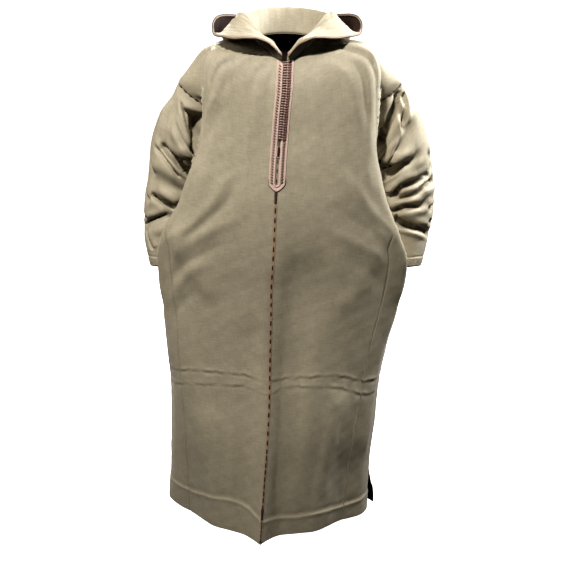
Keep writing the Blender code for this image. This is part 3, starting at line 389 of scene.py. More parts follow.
# Creases of the sleeves, with the same columns, in (round, along).
SLEEVE_CREASES = {
    "sleeve_left": (
        (44.0, 0.335, 104.0, 0.318, -0.004, 0.0070, 0.0045, 0.0),
        (36.0, 0.440, 96.0, 0.425, -0.004, 0.0140, 0.0040, 0.0),
        (50.0, 0.525, 100.0, 0.548, 0.002, 0.0080, 0.0040, 0.0),
        (32.0, 0.690, 84.0, 0.625, 0.004, 0.0090, 0.0040, 0.0),
        (62.0, 0.780, 96.0, 0.720, 0.004, 0.0120, 0.0030, 0.0),
        (66.0, 0.045, 98.0, 0.035, 0.000, 0.0060, -0.0065, 0.26),
        (58.0, 0.120, 104.0, 0.140, 0.000, 0.0080, 0.0045, 0.0),
        (38.0, 0.110, 62.0, 0.270, 0.004, 0.0110, -0.0040, 0.0),
        (22.0, 0.120, 36.0, 0.300, 0.004, 0.0100, 0.0030, 0.0),
        (10.0, 0.400, 40.0, 0.470, 0.002, 0.0080, -0.0072, 0.26),
        (2.0, 0.560, 38.0, 0.600, 0.002, 0.0080, -0.0072, 0.26),
        (-4.0, 0.680, 26.0, 0.700, 0.002, 0.0080, -0.0065, 0.26),
        (220.0, 0.420, 320.0, 0.520, 0.010, 0.0102, -0.0174, 0.39),
        (235.0, 0.280, 300.0, 0.330, 0.006, 0.0110, -0.0087, 0.26),
        (230.0, 0.600, 325.0, 0.600, 0.008, 0.0085, -0.0152, 0.52),
        (225.0, 0.730, 310.0, 0.690, 0.004, 0.0085, -0.0130, 0.39),
        (260.0, 0.120, 280.0, 0.330, 0.004, 0.0120, 0.0050, 0.0),
        (150.0, 0.300, 200.0, 0.340, 0.004, 0.0085, -0.0130, 0.39),
        (150.0, 0.480, 205.0, 0.500, 0.004, 0.0085, -0.0130, 0.39),
    ),
    "sleeve_right": (
        (46.0, 0.090, 66.0, 0.185, 0.000, 0.0080, -0.0085, 0.0),
        (34.0, 0.060, 52.0, 0.210, 0.000, 0.0080, 0.0070, 0.0),
        (66.0, 0.110, 74.0, 0.230, 0.000, 0.0080, 0.0060, 0.0),
        (80.0, 0.210, 108.0, 0.175, 0.000, 0.0110, 0.0050, 0.0),
        (60.0, 0.330, 108.0, 0.300, -0.004, 0.0110, 0.0050, 0.0),
        (36.0, 0.420, 100.0, 0.420, -0.006, 0.0110, 0.0045, 0.0),
        (20.0, 0.555, 90.0, 0.570, -0.006, 0.0100, 0.0045, 0.0),
        (30.0, 0.640, 98.0, 0.635, 0.006, 0.0100, 0.0040, 0.0),
        (20.0, 0.830, 112.0, 0.735, 0.004, 0.0080, 0.0050, 0.0),
        (2.0, 0.620, 34.0, 0.640, 0.004, 0.0068, -0.0108, 0.39),
        (-6.0, 0.420, 24.0, 0.400, 0.004, 0.0090, -0.0072, 0.26),
        (0.0, 0.730, 26.0, 0.720, 0.002, 0.0070, -0.0065, 0.26),
        (222.0, 0.400, 318.0, 0.480, 0.010, 0.0102, -0.0174, 0.39),
        (236.0, 0.240, 300.0, 0.300, 0.006, 0.0110, -0.0094, 0.26),
        (228.0, 0.560, 322.0, 0.590, 0.008, 0.0085, -0.0152, 0.52),
        (224.0, 0.720, 312.0, 0.670, 0.004, 0.0085, -0.0141, 0.39),
        (262.0, 0.110, 282.0, 0.300, 0.004, 0.0120, 0.0050, 0.0),
        (150.0, 0.320, 204.0, 0.350, 0.004, 0.0085, -0.0130, 0.39),
        (150.0, 0.520, 206.0, 0.540, 0.004, 0.0085, -0.0130, 0.39),
    ),
}
CUFF_FOLD = 0.945        # top of the turned-in cuff, along the sleeve
CUFF_STEP = 0.0012       # how far it stands out
CUFF_EDGE = 0.002        # half width of the step
CUFF_FURROW = (0.004, 0.003)            # place above the step and width of the furrow beside it

# Creases of the hood, with the same columns, in (angle, share); a share counts as HOOD_REACH metres.
HOOD_REACH = 0.42
HOOD_CREASES = (
    (-62.0, 0.200, -80.0, 0.560, 0.004, 0.010, -0.0030, 0.0),
    (-44.0, 0.180, -58.0, 0.520, 0.004, 0.012, 0.0020, 0.0),
    (52.0, 0.240, 72.0, 0.420, 0.004, 0.010, -0.0045, 0.0),
    (44.0, 0.440, 66.0, 0.660, 0.004, 0.010, 0.0035, 0.0),
    (78.0, 0.120, 70.0, 0.300, 0.000, 0.009, 0.0040, 0.0),
    (150.0, 0.780, 176.0, 0.640, 0.006, 0.016, -0.0050, 0.0),
    (-150.0, 0.800, -176.0, 0.650, 0.006, 0.016, -0.0050, 0.0),
    (128.0, 0.880, 158.0, 0.760, 0.006, 0.014, -0.0040, 0.0),
    (-130.0, 0.900, -160.0, 0.780, 0.006, 0.014, -0.0040, 0.0),
)

# Deep folds of the sleeves, each a line of (round, along) under which the cloth drops away, how far
# the hollow reaches below the line, its depth and the height of the rounded lip above it.
DEEP_FOLDS = {
    "sleeve_left": (
        (((55.0, 0.315), (79.0, 0.295), (98.0, 0.255), (113.0, 0.165)),
         (0.0101, 0.0175, 0.0401, 0.0850), 0.036, 0.010),
        (((45.0, 0.350), (77.0, 0.355), (101.0, 0.375)),
         (0.0082, 0.0102, 0.0102), 0.012, 0.003),
        (((48.0, 0.565), (74.0, 0.570), (98.0, 0.580)),
         (0.0082, 0.0125, 0.0150), 0.028, 0.007),
        (((15.0, 0.735), (52.0, 0.690), (78.0, 0.655)),
         (0.0060, 0.0060, 0.0050), 0.008, 0.005),
        (((34.0, 0.780), (56.0, 0.870)),
         (0.0082, 0.0116), 0.010, 0.003),
        (((99.0, 0.095), (76.0, 0.085), (50.0, 0.070)),
         (0.0101, 0.0075, 0.0051), 0.014, 0.005),
        (((56.0, 0.055), (61.0, 0.040), (65.0, 0.030), (69.0, 0.015)),
         (0.0071, 0.0163, 0.0274, 0.0396), 0.030, 0.004),
        (((105.0, 0.115), (95.0, 0.080), (81.0, 0.070), (66.0, 0.060)),
         (0.0289, 0.0211, 0.0181, 0.0156), 0.030, 0.004),
    ),
    "sleeve_right": (
        (((39.0, 0.000), (51.0, 0.045), (77.0, 0.055), (100.0, 0.060)),
         (0.0092, 0.0207, 0.0142, 0.0156), 0.026, 0.005),
        (((26.0, 0.065), (44.0, 0.115), (61.0, 0.150)),
         (0.0127, 0.0129, 0.0137), 0.012, 0.002),
        (((73.0, 0.365), (85.0, 0.335), (100.0, 0.295), (114.0, 0.215)),
         (0.0082, 0.0227, 0.0328, 0.0430), 0.032, 0.010),
        (((33.0, 0.475), (65.0, 0.475), (93.0, 0.455), (114.0, 0.480)),
         (0.0092, 0.0129, 0.0154, 0.0201), 0.024, 0.008),
        (((14.0, 0.505), (50.0, 0.515), (72.0, 0.530), (97.0, 0.525)),
         (0.0122, 0.0125, 0.0150, 0.0129), 0.022, 0.008),
        (((61.0, 0.610), (91.0, 0.580), (112.0, 0.600)),
         (0.0087, 0.0150, 0.0129), 0.020, 0.006),
        (((21.0, 0.775), (69.0, 0.715), (99.0, 0.655)),
         (0.0075, 0.0125, 0.0152), 0.024, 0.008),
        (((55.0, 0.745), (106.0, 0.680)),
         (0.0087, 0.0176), 0.012, 0.003),
        (((113.0, 0.240), (106.0, 0.165), (98.0, 0.105), (82.0, 0.050), (60.0, 0.000)),
         (0.0450, 0.0450, 0.0450, 0.0450, 0.0450), 0.020, 0.001),
    ),
}
# The same for the chest, under the hood's front flaps, in (turn, level).
NECK_FOLDS = (
    (((-30.0, 0.070), (-40.0, 0.084), (-51.0, 0.100), (-60.0, 0.112), (-70.0, 0.122)),
     (0.022, 0.022, 0.022, 0.016, 0.006), 0.010, 0.002),
    (((90.0, 0.114), (63.0, 0.100), (50.0, 0.088), (38.0, 0.076), (26.0, 0.069)),
     (0.022, 0.022, 0.022, 0.022, 0.022), 0.010, 0.002),
)

# ---- fineness of the cloth ----
CHEST_ROWS, CHEST_CROWD = 21, 1.15       # rows above the armhole; over 1 they crowd at the neck
ARMHOLE_ROWS = 40
# Rows below the armhole: from level to level, and how many; the third stretch has the pressed creases.
ROWS_BELOW = ((ARMHOLE_FOOT, GORE_TOP, 4), (GORE_TOP, 0.885, 80), (0.885, 1.000, 60),
              (1.000, 1.262, 38), (1.262, HEM_LEVEL, 48))
FRONT_COLUMNS, GORE_COLUMNS, BACK_COLUMNS = 102, 30, 100
SLEEVE_COLUMNS, SLEEVE_ROWS = 160, 184
HOOD_COLUMNS_FINE, HOOD_ROWS = 76, 96
EDGE_CROWD = 0.55        # how much closer the columns stand at a seam
EDGE_BULGE = 0.12        # rounding of a cloth edge, as a share of the wall
SEAM_WIDTH = 0.0036      # the cloth sinks this near a seam
SEAM_SINK = 0.0014       # and this deep
SWING_START = 0.030
BODY_WAVES = 0.0005
SLEEVE_WAVES = 0.0006
HOOD_WAVES = 0.0008
END_SHARE = 0.15         # depth left at the ends of a crease
END_POWER = 0.7          # below 1 keeps a crease deep for longer
END_STRETCH = 0.6        # below 1 lets it run on past its ends
GROOVE_POWER, RIDGE_POWER = 1.7, 2.0     # section of a plain groove and of a plain ridge
LEAN_START = (-0.02, 0.40)               # a leaning crease deepens between these shares of its length
LEAN_SLOPES = (1.25, 0.60)               # width of its gentle and of its steep side
LEAN_LOBE = (-1.7, 1.1, 0.55)            # place, width and height of the cloth heaped beside it
LEAN_LIP = (-0.9, 0.8)                   # place and width of what is pushed over
PANEL_SHIFT = {"front_left": 1.1, "front_right": 2.3, "gore_left": 3.1, "gore_right": 4.7}
BAG_WIDEN = 0.35         # rounds the folded foot of the hood's bag
BAG_SPREAD = 0.05
BAG_FROM, BAG_TO = 110.0, 150.0          # angles over which the rounding sets in
HOOD_GIRTH = 1.10        # for the width of creases round the hood
ARMHOLE_FADE = 0.010     # the sleeve takes up the body's form this near its seam
CUFF_FADE = 0.030
NECK_HOLD = 0.012        # the chest keeps its form this near the neck seam
END_FADE = 0.006         # a deep fold dies out this far past its ends
FOLD_SAMPLES = 25        # places along a deep fold
LIP_EDGE = 0.0022        # half width of the drop under a deep fold's lip
LIP_BACK = 0.0090        # the lip is highest this far above the drop
LIP_WIDTH = 0.0085       # and this wide
LIP_OVER = 0.35          # it leans over by this share of the hollow's reach
LIP_REACH = 1.8          # and as far as this many times its own height at most
LIP_END = 0.4            # share of the lip's half width where the overhang stops
HOLLOW_START = 0.35      # depth of the narrowest hollow, as a share of the widest
HOLLOW_LEAST = 0.012     # a fold whose last reach is narrower than this stays shallower
HOLLOW_ENDS = (0.65, 1.5)                # the hollow rises again between these shares of its reach
BEYOND_SHARE = 0.4       # height of the soft ridge past the hollow, as a share of the lip's
WEDGE_START, WEDGE_END = 0.55, 1.30      # a deep fold widens along its length
FLAP_FORWARD = 0.022     # the hood's front flaps stand out over the chest
FLAP_SHARES = (0.30, 1.0)                # shares of the profile over which they do
FLAP_RISE = (8.0, 34.0)                  # and angles over which that sets in
FLAP_FALL = (66.0, 88.0)                 # and ends
HOOD_START = 4.0         # half width of the hood's gap at the centre front, degrees
HOOD_CROWD = 0.92        # below 1 the columns crowd at the back
BAG_TURN = 91.0          # beyond this angle the hood's inner side gets the dark reverse finish: painted shade inside the bag
BAG_SKEW = 12.0          # that line leans by this many degrees from BAG_SHARE on
BAG_SHARE = 0.17
BAG_SKEW_SPAN = 0.8

# ---- camera and lights ----
CAMERA_PLACE = (0.0, -2.5, -0.15)
CAMERA_DOWN = 12.0       # degrees below the horizon
LENS = 900.0 / 570.0 * 36.0
FLOOR_SPAN = 40.0
FLOOR_GLOW = 1.00
WORLD_LIGHT = 0.02
# name, place, target, width, height, watts, colour
LIGHTS = (
    ("key", (-0.75, -2.70, 2.75), (0.0, 0.0, -0.50), 0.35, 0.35, 190.0, (1.0, 0.98, 0.96)),
    ("side", (-1.60, -0.60, 0.60), (-0.3, 0.0, -0.4), 0.3, 0.3, 10.0, (1.0, 0.97, 0.90)),
    ("low", (1.30, -2.20, -0.60), (0.3, 0.0, -1.0), 0.4, 0.4, 2.5, (0.98, 0.97, 1.0)),
    ("rim", (1.30, 0.15, 0.70), (0.3, 0.0, -0.3), 0.3, 0.6, 50.0, (0.96, 0.98, 1.0)),
    ("back", (-0.60, 3.20, 1.60), (0.0, 0.0, -0.6), 1.2, 1.2, 110.0, (1.0, 0.98, 0.96)),
)

# ---- curves ----


def curve(knots, values, place):
    """Smooth monotone curve through values[..., k] at knots[k], read at place."""
    knots = np.asarray(knots, float)
    step = np.diff(knots)
    rate = np.diff(values, axis=-1) / step
    before, after = rate[..., :-1], rate[..., 1:]
    weight_a, weight_b = 2 * step[1:] + step[:-1], step[1:] + 2 * step[:-1]
    same = before * after > 0
    mean = (weight_a + weight_b) / (weight_a / np.where(same, before, 1.0)
                                    + weight_b / np.where(same, after, 1.0))
    slope = np.concatenate([rate[..., :1], np.where(same, mean, 0.0), rate[..., -1:]], axis=-1)
    spot = np.clip(np.searchsorted(knots, place, side="right") - 1, 0, len(knots) - 2)

    def pick(array, index):
        full = np.broadcast_to(array, place.shape + array.shape[-1:])
        return np.take_along_axis(full, index[..., None], axis=-1)[..., 0]

    width = step[spot]
    u = (place - knots[spot]) / width
    start, end = pick(values, spot), pick(values, spot + 1)
    slope_a, slope_b = pick(slope, spot) * width, pick(slope, spot + 1) * width
    return (start * (1 + 2 * u) * (1 - u) ** 2 + end * u * u * (3 - 2 * u)
            + slope_a * u * (1 - u) ** 2 - slope_b * u * u * (1 - u))


def soft_step(low, high, value):
    """0 below low, 1 above high, smooth between."""
    u = np.clip((value - low) / (high - low), 0.0, 1.0)
    return u * u * (3 - 2 * u)


def fold_height(across, along, folds, scale):
    """Sum of soft ridges and troughs at (across, along); scale turns both into metres."""
    height = np.zeros(np.shape(across))
    for turn_a, level_a, turn_b, level_b, width, rise in folds:
        dx, dy = (turn_b - turn_a) * scale[0], (level_b - level_a) * scale[1]
        px = ((across - turn_a + 180.0) % 360.0 - 180.0) * scale[0]
        py = (along - level_a) * scale[1]
        share = np.clip((px * dx + py * dy) / (dx * dx + dy * dy), 0.0, 1.0)
        gap = np.hypot(px - share * dx, py - share * dy)
        height = height + rise * np.exp(-(gap / width) ** 2)
    return height


# ---- the body surface ----


def ring(level):
    """Every column of the ring table, read at each level."""
    table = np.array(RINGS).T
    return {name: curve(table[0], table[k], level) for k, name in enumerate(RING_COLUMNS)}


def body(turn, level):
    """Points of the body surface at turn (degrees) and level (metres)."""
    r = ring(level)
    knots, xs, ys = [0.0], [r["seam_x"]], [r["front_y"]]
    for hand in (-1.0, 1.0):
        gore = r["drift"] + hand * r["gore_x"] + GORE_SHIFT * soft_step(*GORE_SHIFT_LEVELS, level)
        spots = [(TURN_MID, r["seam_x"] + MID_ACROSS * (gore - r["seam_x"]),
                  r["front_y"] + MID_BACK * (r["gore_y"] - r["front_y"])),
                 (GORE_TURN, gore, r["gore_y"])]
        for angle, name in ((TURN_EDGE, "edge"), (TURN_TUCK, "tuck"), (TURN_ARM, "arm"),
                            (TURN_SIDE, "side")):
            spots.append((angle, r["drift"] + hand * r[name + "_x"], r[name + "_y"]))
        for angle in BACK_TURNS:
            swing = np.radians(angle - TURN_SIDE)
            spots.append((angle, r["drift"] + hand * r["side_x"] * np.cos(swing) ** BACK_POWER,
                          r["side_y"] + (r["back_y"] - r["side_y"]) * np.sin(swing) ** BACK_POWER))
        spots.append((180.0, r["drift"], r["back_y"]))
        for angle, x, y in spots:
            knots.append(hand * angle)
            xs.append(x)
            ys.append(y)
    order = np.argsort(knots)
    knots = np.array(knots)[order]
    x = curve(knots, np.stack([xs[k] for k in order], axis=-1), turn)
    y = curve(knots, np.stack([ys[k] for k in order], axis=-1), turn)
    y = y - r["ridge"] * np.exp(-np.abs(turn) / RIDGE_TURN)
    lift = np.sin(np.radians(turn)) ** 2
    ends = np.where(np.abs(turn) < 90.0, -level, r["back_z"])
    z = ends + (r["side_z"] - ends) * lift
    z = z + TIP_DROP * soft_step(VENT_TOP, HEM_LEVEL, level) * (1 - np.exp(-np.abs(turn) / TIP_TURN))
    z = z - HEM_TILT * (x - r["drift"]) * soft_step(TILT_LEVEL, HEM_LEVEL, level)
    height = fold_height(turn, level, BODY_FOLDS, (METRES_PER_DEGREE, 1.0))
    reach = np.hypot(x - r["drift"], y)
    x, y = x + height * (x - r["drift"]) / reach, y + height * y / reach
    return np.stack([x, y, z], axis=-1)


def unit(vector):
    """Vectors scaled to length 1."""
    return vector / np.linalg.norm(vector, axis=-1, keepdims=True)


def normals(surface, a, b, step_a, step_b):
    """Unit normals of surface(a, b): the side from which a runs right and b runs up."""
    along_a = surface(a + step_a, b) - surface(a - step_a, b)
    along_b = surface(a, b + step_b) - surface(a, b - step_b)
    return unit(np.cross(along_a, along_b))


def body_normals(turn, level):
    """Outward normals of the body surface."""
    level = np.clip(level, NECK_LEVEL + 0.002, HEM_LEVEL - 0.002)
    return -normals(body, turn, level, 0.5, 0.002)


def ease(turn, level, amount):
    """Turn moved by amount metres round the body."""
    pace = np.linalg.norm(body(turn + 0.1, level) - body(turn - 0.1, level), axis=-1) / 0.2
    return turn + amount / pace


def runs(points, axis=1):
    """Metres run along a grid's rows (axis 1) or columns (axis 0), starting at 0."""
    step = np.linalg.norm(np.diff(points, axis=axis), axis=-1)
    return np.concatenate([np.zeros_like(step.take([0], axis=axis)), np.cumsum(step, axis=axis)], axis=axis)


def read_rows(run, grid, places):
    """Every row of a grid of points, read at places, metres run along it."""
    rows = [[np.interp(places, at, row[:, c]) for c in range(3)] for at, row in zip(run, grid)]
    return np.moveaxis(np.array(rows), 1, -1)


def crowded(steps):
    """Shares from 0 to 1 that stand closer together at both ends."""
    share = np.linspace(0.0, 1.0, steps + 1)
    return share - EDGE_CROWD * np.sin(2.0 * np.pi * share) / (2.0 * np.pi)


# ---- creased cloth ----


def crease_field(across, along, rows, scale):
    """Heights of the creases at (across, along), and the shift that leans them over."""
    height = np.zeros(np.shape(across))
    shift_a, shift_b = np.zeros(np.shape(across)), np.zeros(np.shape(across))
    for a_from, b_from, a_to, b_to, bow, width, rise, lean in rows:
        dx, dy = (a_to - a_from) * scale[0], (b_to - b_from) * scale[1]
        px = ((across - a_from + 180.0) % 360.0 - 180.0) * scale[0]
        py = (along - b_from) * scale[1]
        length = np.hypot(dx, dy)
        ux, uy = dx / length, dy / length
        place = (px * ux + py * uy) / length
        run = np.clip(place, 0.0, 1.0)
        side = py * ux - px * uy - bow * 4.0 * run * (1.0 - run)
        past = np.abs(place - run) * length
        if lean:
            taper = soft_step(*LEAN_START, run) * np.exp(-(past / END_FADE) ** 2)
            s = side / (width * (WEDGE_START + (WEDGE_END - WEDGE_START) * run))
            groove = np.exp(-np.where(s > 0.0, s / LEAN_SLOPES[0], s / LEAN_SLOPES[1]) ** 2)
            lobe = lean * np.exp(-((s - LEAN_LOBE[0]) / LEAN_LOBE[1]) ** 2)
            height = height + taper * (rise * groove + abs(rise) * LEAN_LOBE[2] * lobe)
            lip = abs(rise) * lean * taper * np.exp(-((s - LEAN_LIP[0]) / LEAN_LIP[1]) ** 2)
            shift_a, shift_b = shift_a - lip * uy, shift_b + lip * ux
        else:
            taper = END_SHARE + (1.0 - END_SHARE) * np.sin(np.pi * run) ** END_POWER
            gap = np.hypot(side, END_STRETCH * past) / width
            height = height + rise * taper * np.exp(-gap ** (GROOVE_POWER if rise < 0.0 else RIDGE_POWER))
    return height, shift_a / scale[0], shift_b / scale[1]


def deep_field(across, along, folds, scale):
    """Heights of the deep folds at (across, along), and the shift that leans their lips over."""
    height = np.zeros(np.shape(across))
    shift_a, shift_b = np.zeros(np.shape(across)), np.zeros(np.shape(across))
    share = np.linspace(0.0, 1.0, FOLD_SAMPLES)
    for points, reaches, depth, lobe in folds:
        stops = np.linspace(0.0, 1.0, len(points))
        line = np.stack([curve(stops, np.array(c), share) * s for c, s in zip(zip(*points), scale)], -1)
        way = unit(np.gradient(line, axis=0))
        off = np.stack([across * scale[0], along * scale[1]], -1)[..., None, :] - line
        near = np.argmin(np.sum(off ** 2, axis=-1), axis=-1)
        off = np.take_along_axis(off, near[..., None, None], axis=-2)[..., 0, :]
        ux, uy = way[near][..., 0], way[near][..., 1]
        side = off[..., 1] * ux - off[..., 0] * uy
        past = off[..., 0] * ux + off[..., 1] * uy
        reach = np.interp(share[near], stops, reaches)
        full = HOLLOW_START + (1.0 - HOLLOW_START) * reach / max(reaches[-1], HOLLOW_LEAST)
        taper = np.exp(-(past / END_FADE) ** 2) * np.minimum(1.0, full)
        near_end, far_end = HOLLOW_ENDS[0] * reach, HOLLOW_ENDS[1] * reach
        hollow = soft_step(-LIP_EDGE, LIP_EDGE, side) * (1.0 - soft_step(near_end, far_end, side))
        crest = np.exp(-((side + LIP_BACK) / LIP_WIDTH) ** 2)
        beyond = np.exp(-((side - far_end - LIP_BACK) / LIP_WIDTH) ** 2)
        height = height + taper * (lobe * crest + BEYOND_SHARE * lobe * beyond - depth * hollow)
        lip = taper * LIP_OVER * np.minimum(reach, LIP_REACH * lobe) * np.exp(-(side / LIP_BACK) ** 2)
        lip = lip * (side < LIP_END * LIP_EDGE)
        shift_a, shift_b = shift_a - lip * uy, shift_b + lip * ux
    return height, shift_a / scale[0], shift_b / scale[1]


def pressed_creases(turn, level):
    """The level creases, each a soft ridge over a shallow groove, and the turned-up hem."""
    height = np.zeros(np.shape(turn))
    round_body = np.radians(turn)
    for k, stops in enumerate(PRESSED_CREASES):
        knots, levels, depths = np.array(stops).T
        wander = sum(size * np.sin(waves * round_body + phase * k)
                     for size, waves, phase in PRESSED_WANDER)
        u = (level + wander - curve(knots, levels, turn)) / PRESSED_WIDTH
        uneven = sum((size * np.sin(waves * round_body + phase * k)
                      for size, waves, phase in PRESSED_UNEVEN), PRESSED_DEPTH)
        depth = curve(knots, depths, turn) * np.clip(uneven, *PRESSED_LIMITS)
        height = height + depth * sum(high * np.exp(-((u - at) / wide) ** 2)
                                      for high, at, wide in PRESSED_SECTION)
    knots, levels = np.array(HEM_FOLD).T
    below = level - curve(knots, levels, turn)
    height = height + HEM_STEP * soft_step(-HEM_EDGE, HEM_EDGE, below)
    height = height + HEM_BEAD * np.exp(-((below - 0.004) / HEM_ROUND) ** 2)
    return height - BEAD_FURROW * HEM_BEAD * np.exp(-((below + 0.010) / HEM_ROUND) ** 2)


def gentle_waves(across, along, size):
    """Faint unevenness that all worn cloth has; across and along in metres."""
    wave = (np.sin(61.0 * across + 23.0 * along + 1.3) * np.sin(17.0 * along - 38.0 * across)
            + 0.7 * np.sin(97.0 * across - 41.0 * along) * np.sin(31.0 * along + 12.0 * across + 0.7)
            + 0.5 * np.sin(53.0 * along + 140.0 * across) * np.sin(88.0 * along - 60.0 * across))
    return size * wave


def cloth_body(turn, level):
    """The body surface with all its creases."""
    scale = (METRES_PER_DEGREE, 1.0)
    height, shift_a, shift_b = crease_field(turn, level, BODY_CREASES, scale)
    height = height + pressed_creases(turn, level)
    height = height + gentle_waves(turn * METRES_PER_DEGREE, level, BODY_WAVES)
    fade = soft_step(NECK_LEVEL, NECK_LEVEL + 0.03, level)
    place = body(turn + shift_a * fade, level + shift_b * fade)
    recess, _, _ = deep_field(turn, level, NECK_FOLDS, scale)
    height = height * fade + recess * soft_step(NECK_LEVEL, NECK_LEVEL + NECK_HOLD, level)
    return place + height[..., None] * body_normals(turn, level)


def grid_normals(points, towards):
    """Unit normals of a grid of points, on the side that towards, a rough normal, lies on."""
    down = np.gradient(points, axis=0)
    right = np.gradient(points, axis=1)
    normal = unit(np.cross(down, right))
    side = np.sign(np.sum(normal * towards))
    return normal * side


# ---- meshes ----


def make_mesh(name, verts, faces, finishes, uv=None, marks=None, slots=None):
    """A smooth mesh.  uv is a place for each vertex; marks are named values for each vertex."""
    mesh = bpy.data.meshes.new(name)
    mesh.from_pydata(np.asarray(verts).tolist(), [], np.asarray(faces).tolist())
    for finish in finishes:
        mesh.materials.append(finish)
    if slots is not None:
        mesh.polygons.foreach_set("material_index", np.asarray(slots, dtype=np.int32))
    if uv is not None:
        corner = np.empty(len(mesh.loops), dtype=np.int32)
        mesh.loops.foreach_get("vertex_index", corner)
        layer = mesh.uv_layers.new(name="cut")
        layer.data.foreach_set("uv", np.asarray(uv, dtype=np.float32)[corner].ravel())
    for label, values in (marks or {}).items():
        mark = mesh.attributes.new(label, "FLOAT", "POINT")
        mark.data.foreach_set("value", np.asarray(values, dtype=np.float32).ravel())
    mesh.shade_smooth()
    mesh.update()
    thing = bpy.data.objects.new(name, mesh)
    bpy.context.scene.collection.objects.link(thing)
    return thing


def grid_faces(rows, cols, closed):
    """Four-sided faces of a grid, as indices."""
    i, j = np.meshgrid(np.arange(rows - 1), np.arange(cols if closed else cols - 1), indexing="ij")
    k = (j + 1) % cols
    quads = np.stack([i * cols + j, i * cols + k, (i + 1) * cols + k, (i + 1) * cols + j], axis=-1)
    return quads.reshape(-1, 4)


def cloth_shell(name, outer, normal, uv, finishes, closed=False, seam=None, wall=WALL, inside=None):
    """A cloth wall: the grid outer, its inner side, and a rounded edge all round.

    inside marks the cells whose inner side shows the second finish; without it all of them do. For the wool
    that second finish is a dark reverse, painted shade on the cloth's inner side."""
    rows, cols = outer.shape[:2]
    inner = outer - wall * normal
    count = rows * cols
    edge = [np.arange(cols), np.arange(cols) + count - cols]
    if closed:
        loops = [np.append(e, e[0]) for e in (edge[0], edge[1][::-1])]
    else:
        left, right = np.arange(rows) * cols, np.arange(rows) * cols + cols - 1
        loops = [np.concatenate([edge[0], right[1:], edge[1][::-1][1:], left[::-1][1:]])]
    top, flat_outer, flat_inner = grid_faces(rows, cols, closed), outer.reshape(-1, 3), inner.reshape(-1, 3)
    low = top[:, ::-1] + count
    verts, faces, places = [flat_outer, flat_inner], [top, low], [uv.reshape(-1, 2)] * 2
    near = np.zeros(rows * cols) if seam is None else seam.reshape(-1)
    nears = [near, near]
    start = 2 * count
    for loop in loops:
        ring_in = loop[:-1]
        middle = (flat_outer[ring_in] + flat_inner[ring_in]) / 2
        neighbour = interior_neighbour(ring_in, rows, cols, closed)
        proud = unit(flat_outer[ring_in] - flat_outer[neighbour]) * wall * EDGE_BULGE
        verts.append(middle + proud)
        places.append(uv.reshape(-1, 2)[ring_in])
        nears.append(near[ring_in])
        here = start + np.arange(len(ring_in))
        after = np.roll(here, -1)
        faces.append(np.stack([loop[1:], loop[:-1], here, after], axis=-1))
        faces.append(np.stack([after, here, loop[:-1] + count, loop[1:] + count], axis=-1))
        start += len(ring_in)
    slots = np.concatenate([np.full(len(f), 1 if k == 1 else 0) for k, f in enumerate(faces)])
    if inside is not None:
        slots[len(top):2 * len(top)] = inside[:-1, :-1].reshape(-1)
    verts, faces = np.concatenate(verts), np.concatenate(faces)
    a, b, c = (flat_outer[top[len(top) // 2][k]] for k in range(3))
    if np.dot(np.cross(b - a, c - a), normal.reshape(-1, 3)[top[len(top) // 2][0]]) < 0:
        faces = faces[:, ::-1]
    return make_mesh(name, verts, faces, finishes, np.concatenate(places),
                     {"seam_near": np.concatenate(nears)}, slots)


def interior_neighbour(index, rows, cols, closed):
    """The grid point next to each edge point, one step in."""
    i, j = index // cols, index % cols
    inner_i = np.where(i == 0, 1, np.where(i == rows - 1, rows - 2, i))
    if closed:
        return inner_i * cols + j
    inner_j = np.where(j == 0, 1, np.where(j == cols - 1, cols - 2, j))
    return inner_i * cols + inner_j


def strands(name, paths, ups, radius, finish, flatten=1.0, sides=6, taper=None):
    """Threads as one mesh: paths (count, points, 3) on cloth whose normals are ups."""
    count, steps = paths.shape[:2]
    along = unit(np.gradient(paths, axis=1))
    across = unit(np.cross(along, ups))
    above = unit(np.cross(across, along))
    swing = np.arange(sides) * 2.0 * np.pi / sides
    size = radius * (np.ones(steps) if taper is None else taper)
    offset = (np.cos(swing)[:, None] * across[:, :, None, :]
              + flatten * np.sin(swing)[:, None] * above[:, :, None, :]) * size[None, :, None, None]
    verts = (paths[:, :, None, :] + offset).reshape(-1, 3)
    block = grid_faces(steps, sides, True)
    faces = (block[None] + (np.arange(count) * steps * sides)[:, None, None]).reshape(-1, 4)
    ends = [np.arange(sides)[::-1], np.arange(sides) + (steps - 1) * sides]
    faces = faces.tolist()
    for k in range(count):
        faces += [(e + k * steps * sides).tolist() for e in ends]
    length = runs(paths)
    around = np.broadcast_to(swing * radius, (count, steps, sides))
    uv = np.stack([np.broadcast_to(length[:, :, None], around.shape), around], axis=-1).reshape(-1, 2)
    mesh = bpy.data.meshes.new(name)
    mesh.from_pydata(verts.tolist(), [], faces)
    mesh.materials.append(finish)
    corner = np.empty(len(mesh.loops), dtype=np.int32)
    mesh.loops.foreach_get("vertex_index", corner)
    mesh.uv_layers.new(name="cut").data.foreach_set("uv", uv.astype(np.float32)[corner].ravel())
    mesh.shade_smooth()
    mesh.validate()
    thing = bpy.data.objects.new(name, mesh)
    bpy.context.scene.collection.objects.link(thing)
    return thing


def at_lengths(points, ups, places):
    """Points and normals read along a line at places, metres from its start."""
    run = runs(points, 0)
    read = [np.interp(places, run, column) for column in points.T]
    read_up = [np.interp(places, run, column) for column in ups.T]
    return np.stack(read, axis=-1), unit(np.stack(read_up, axis=-1))


def line_length(points):
    """Length of a line in metres."""
    return float(np.linalg.norm(np.diff(points, axis=0), axis=-1).sum())


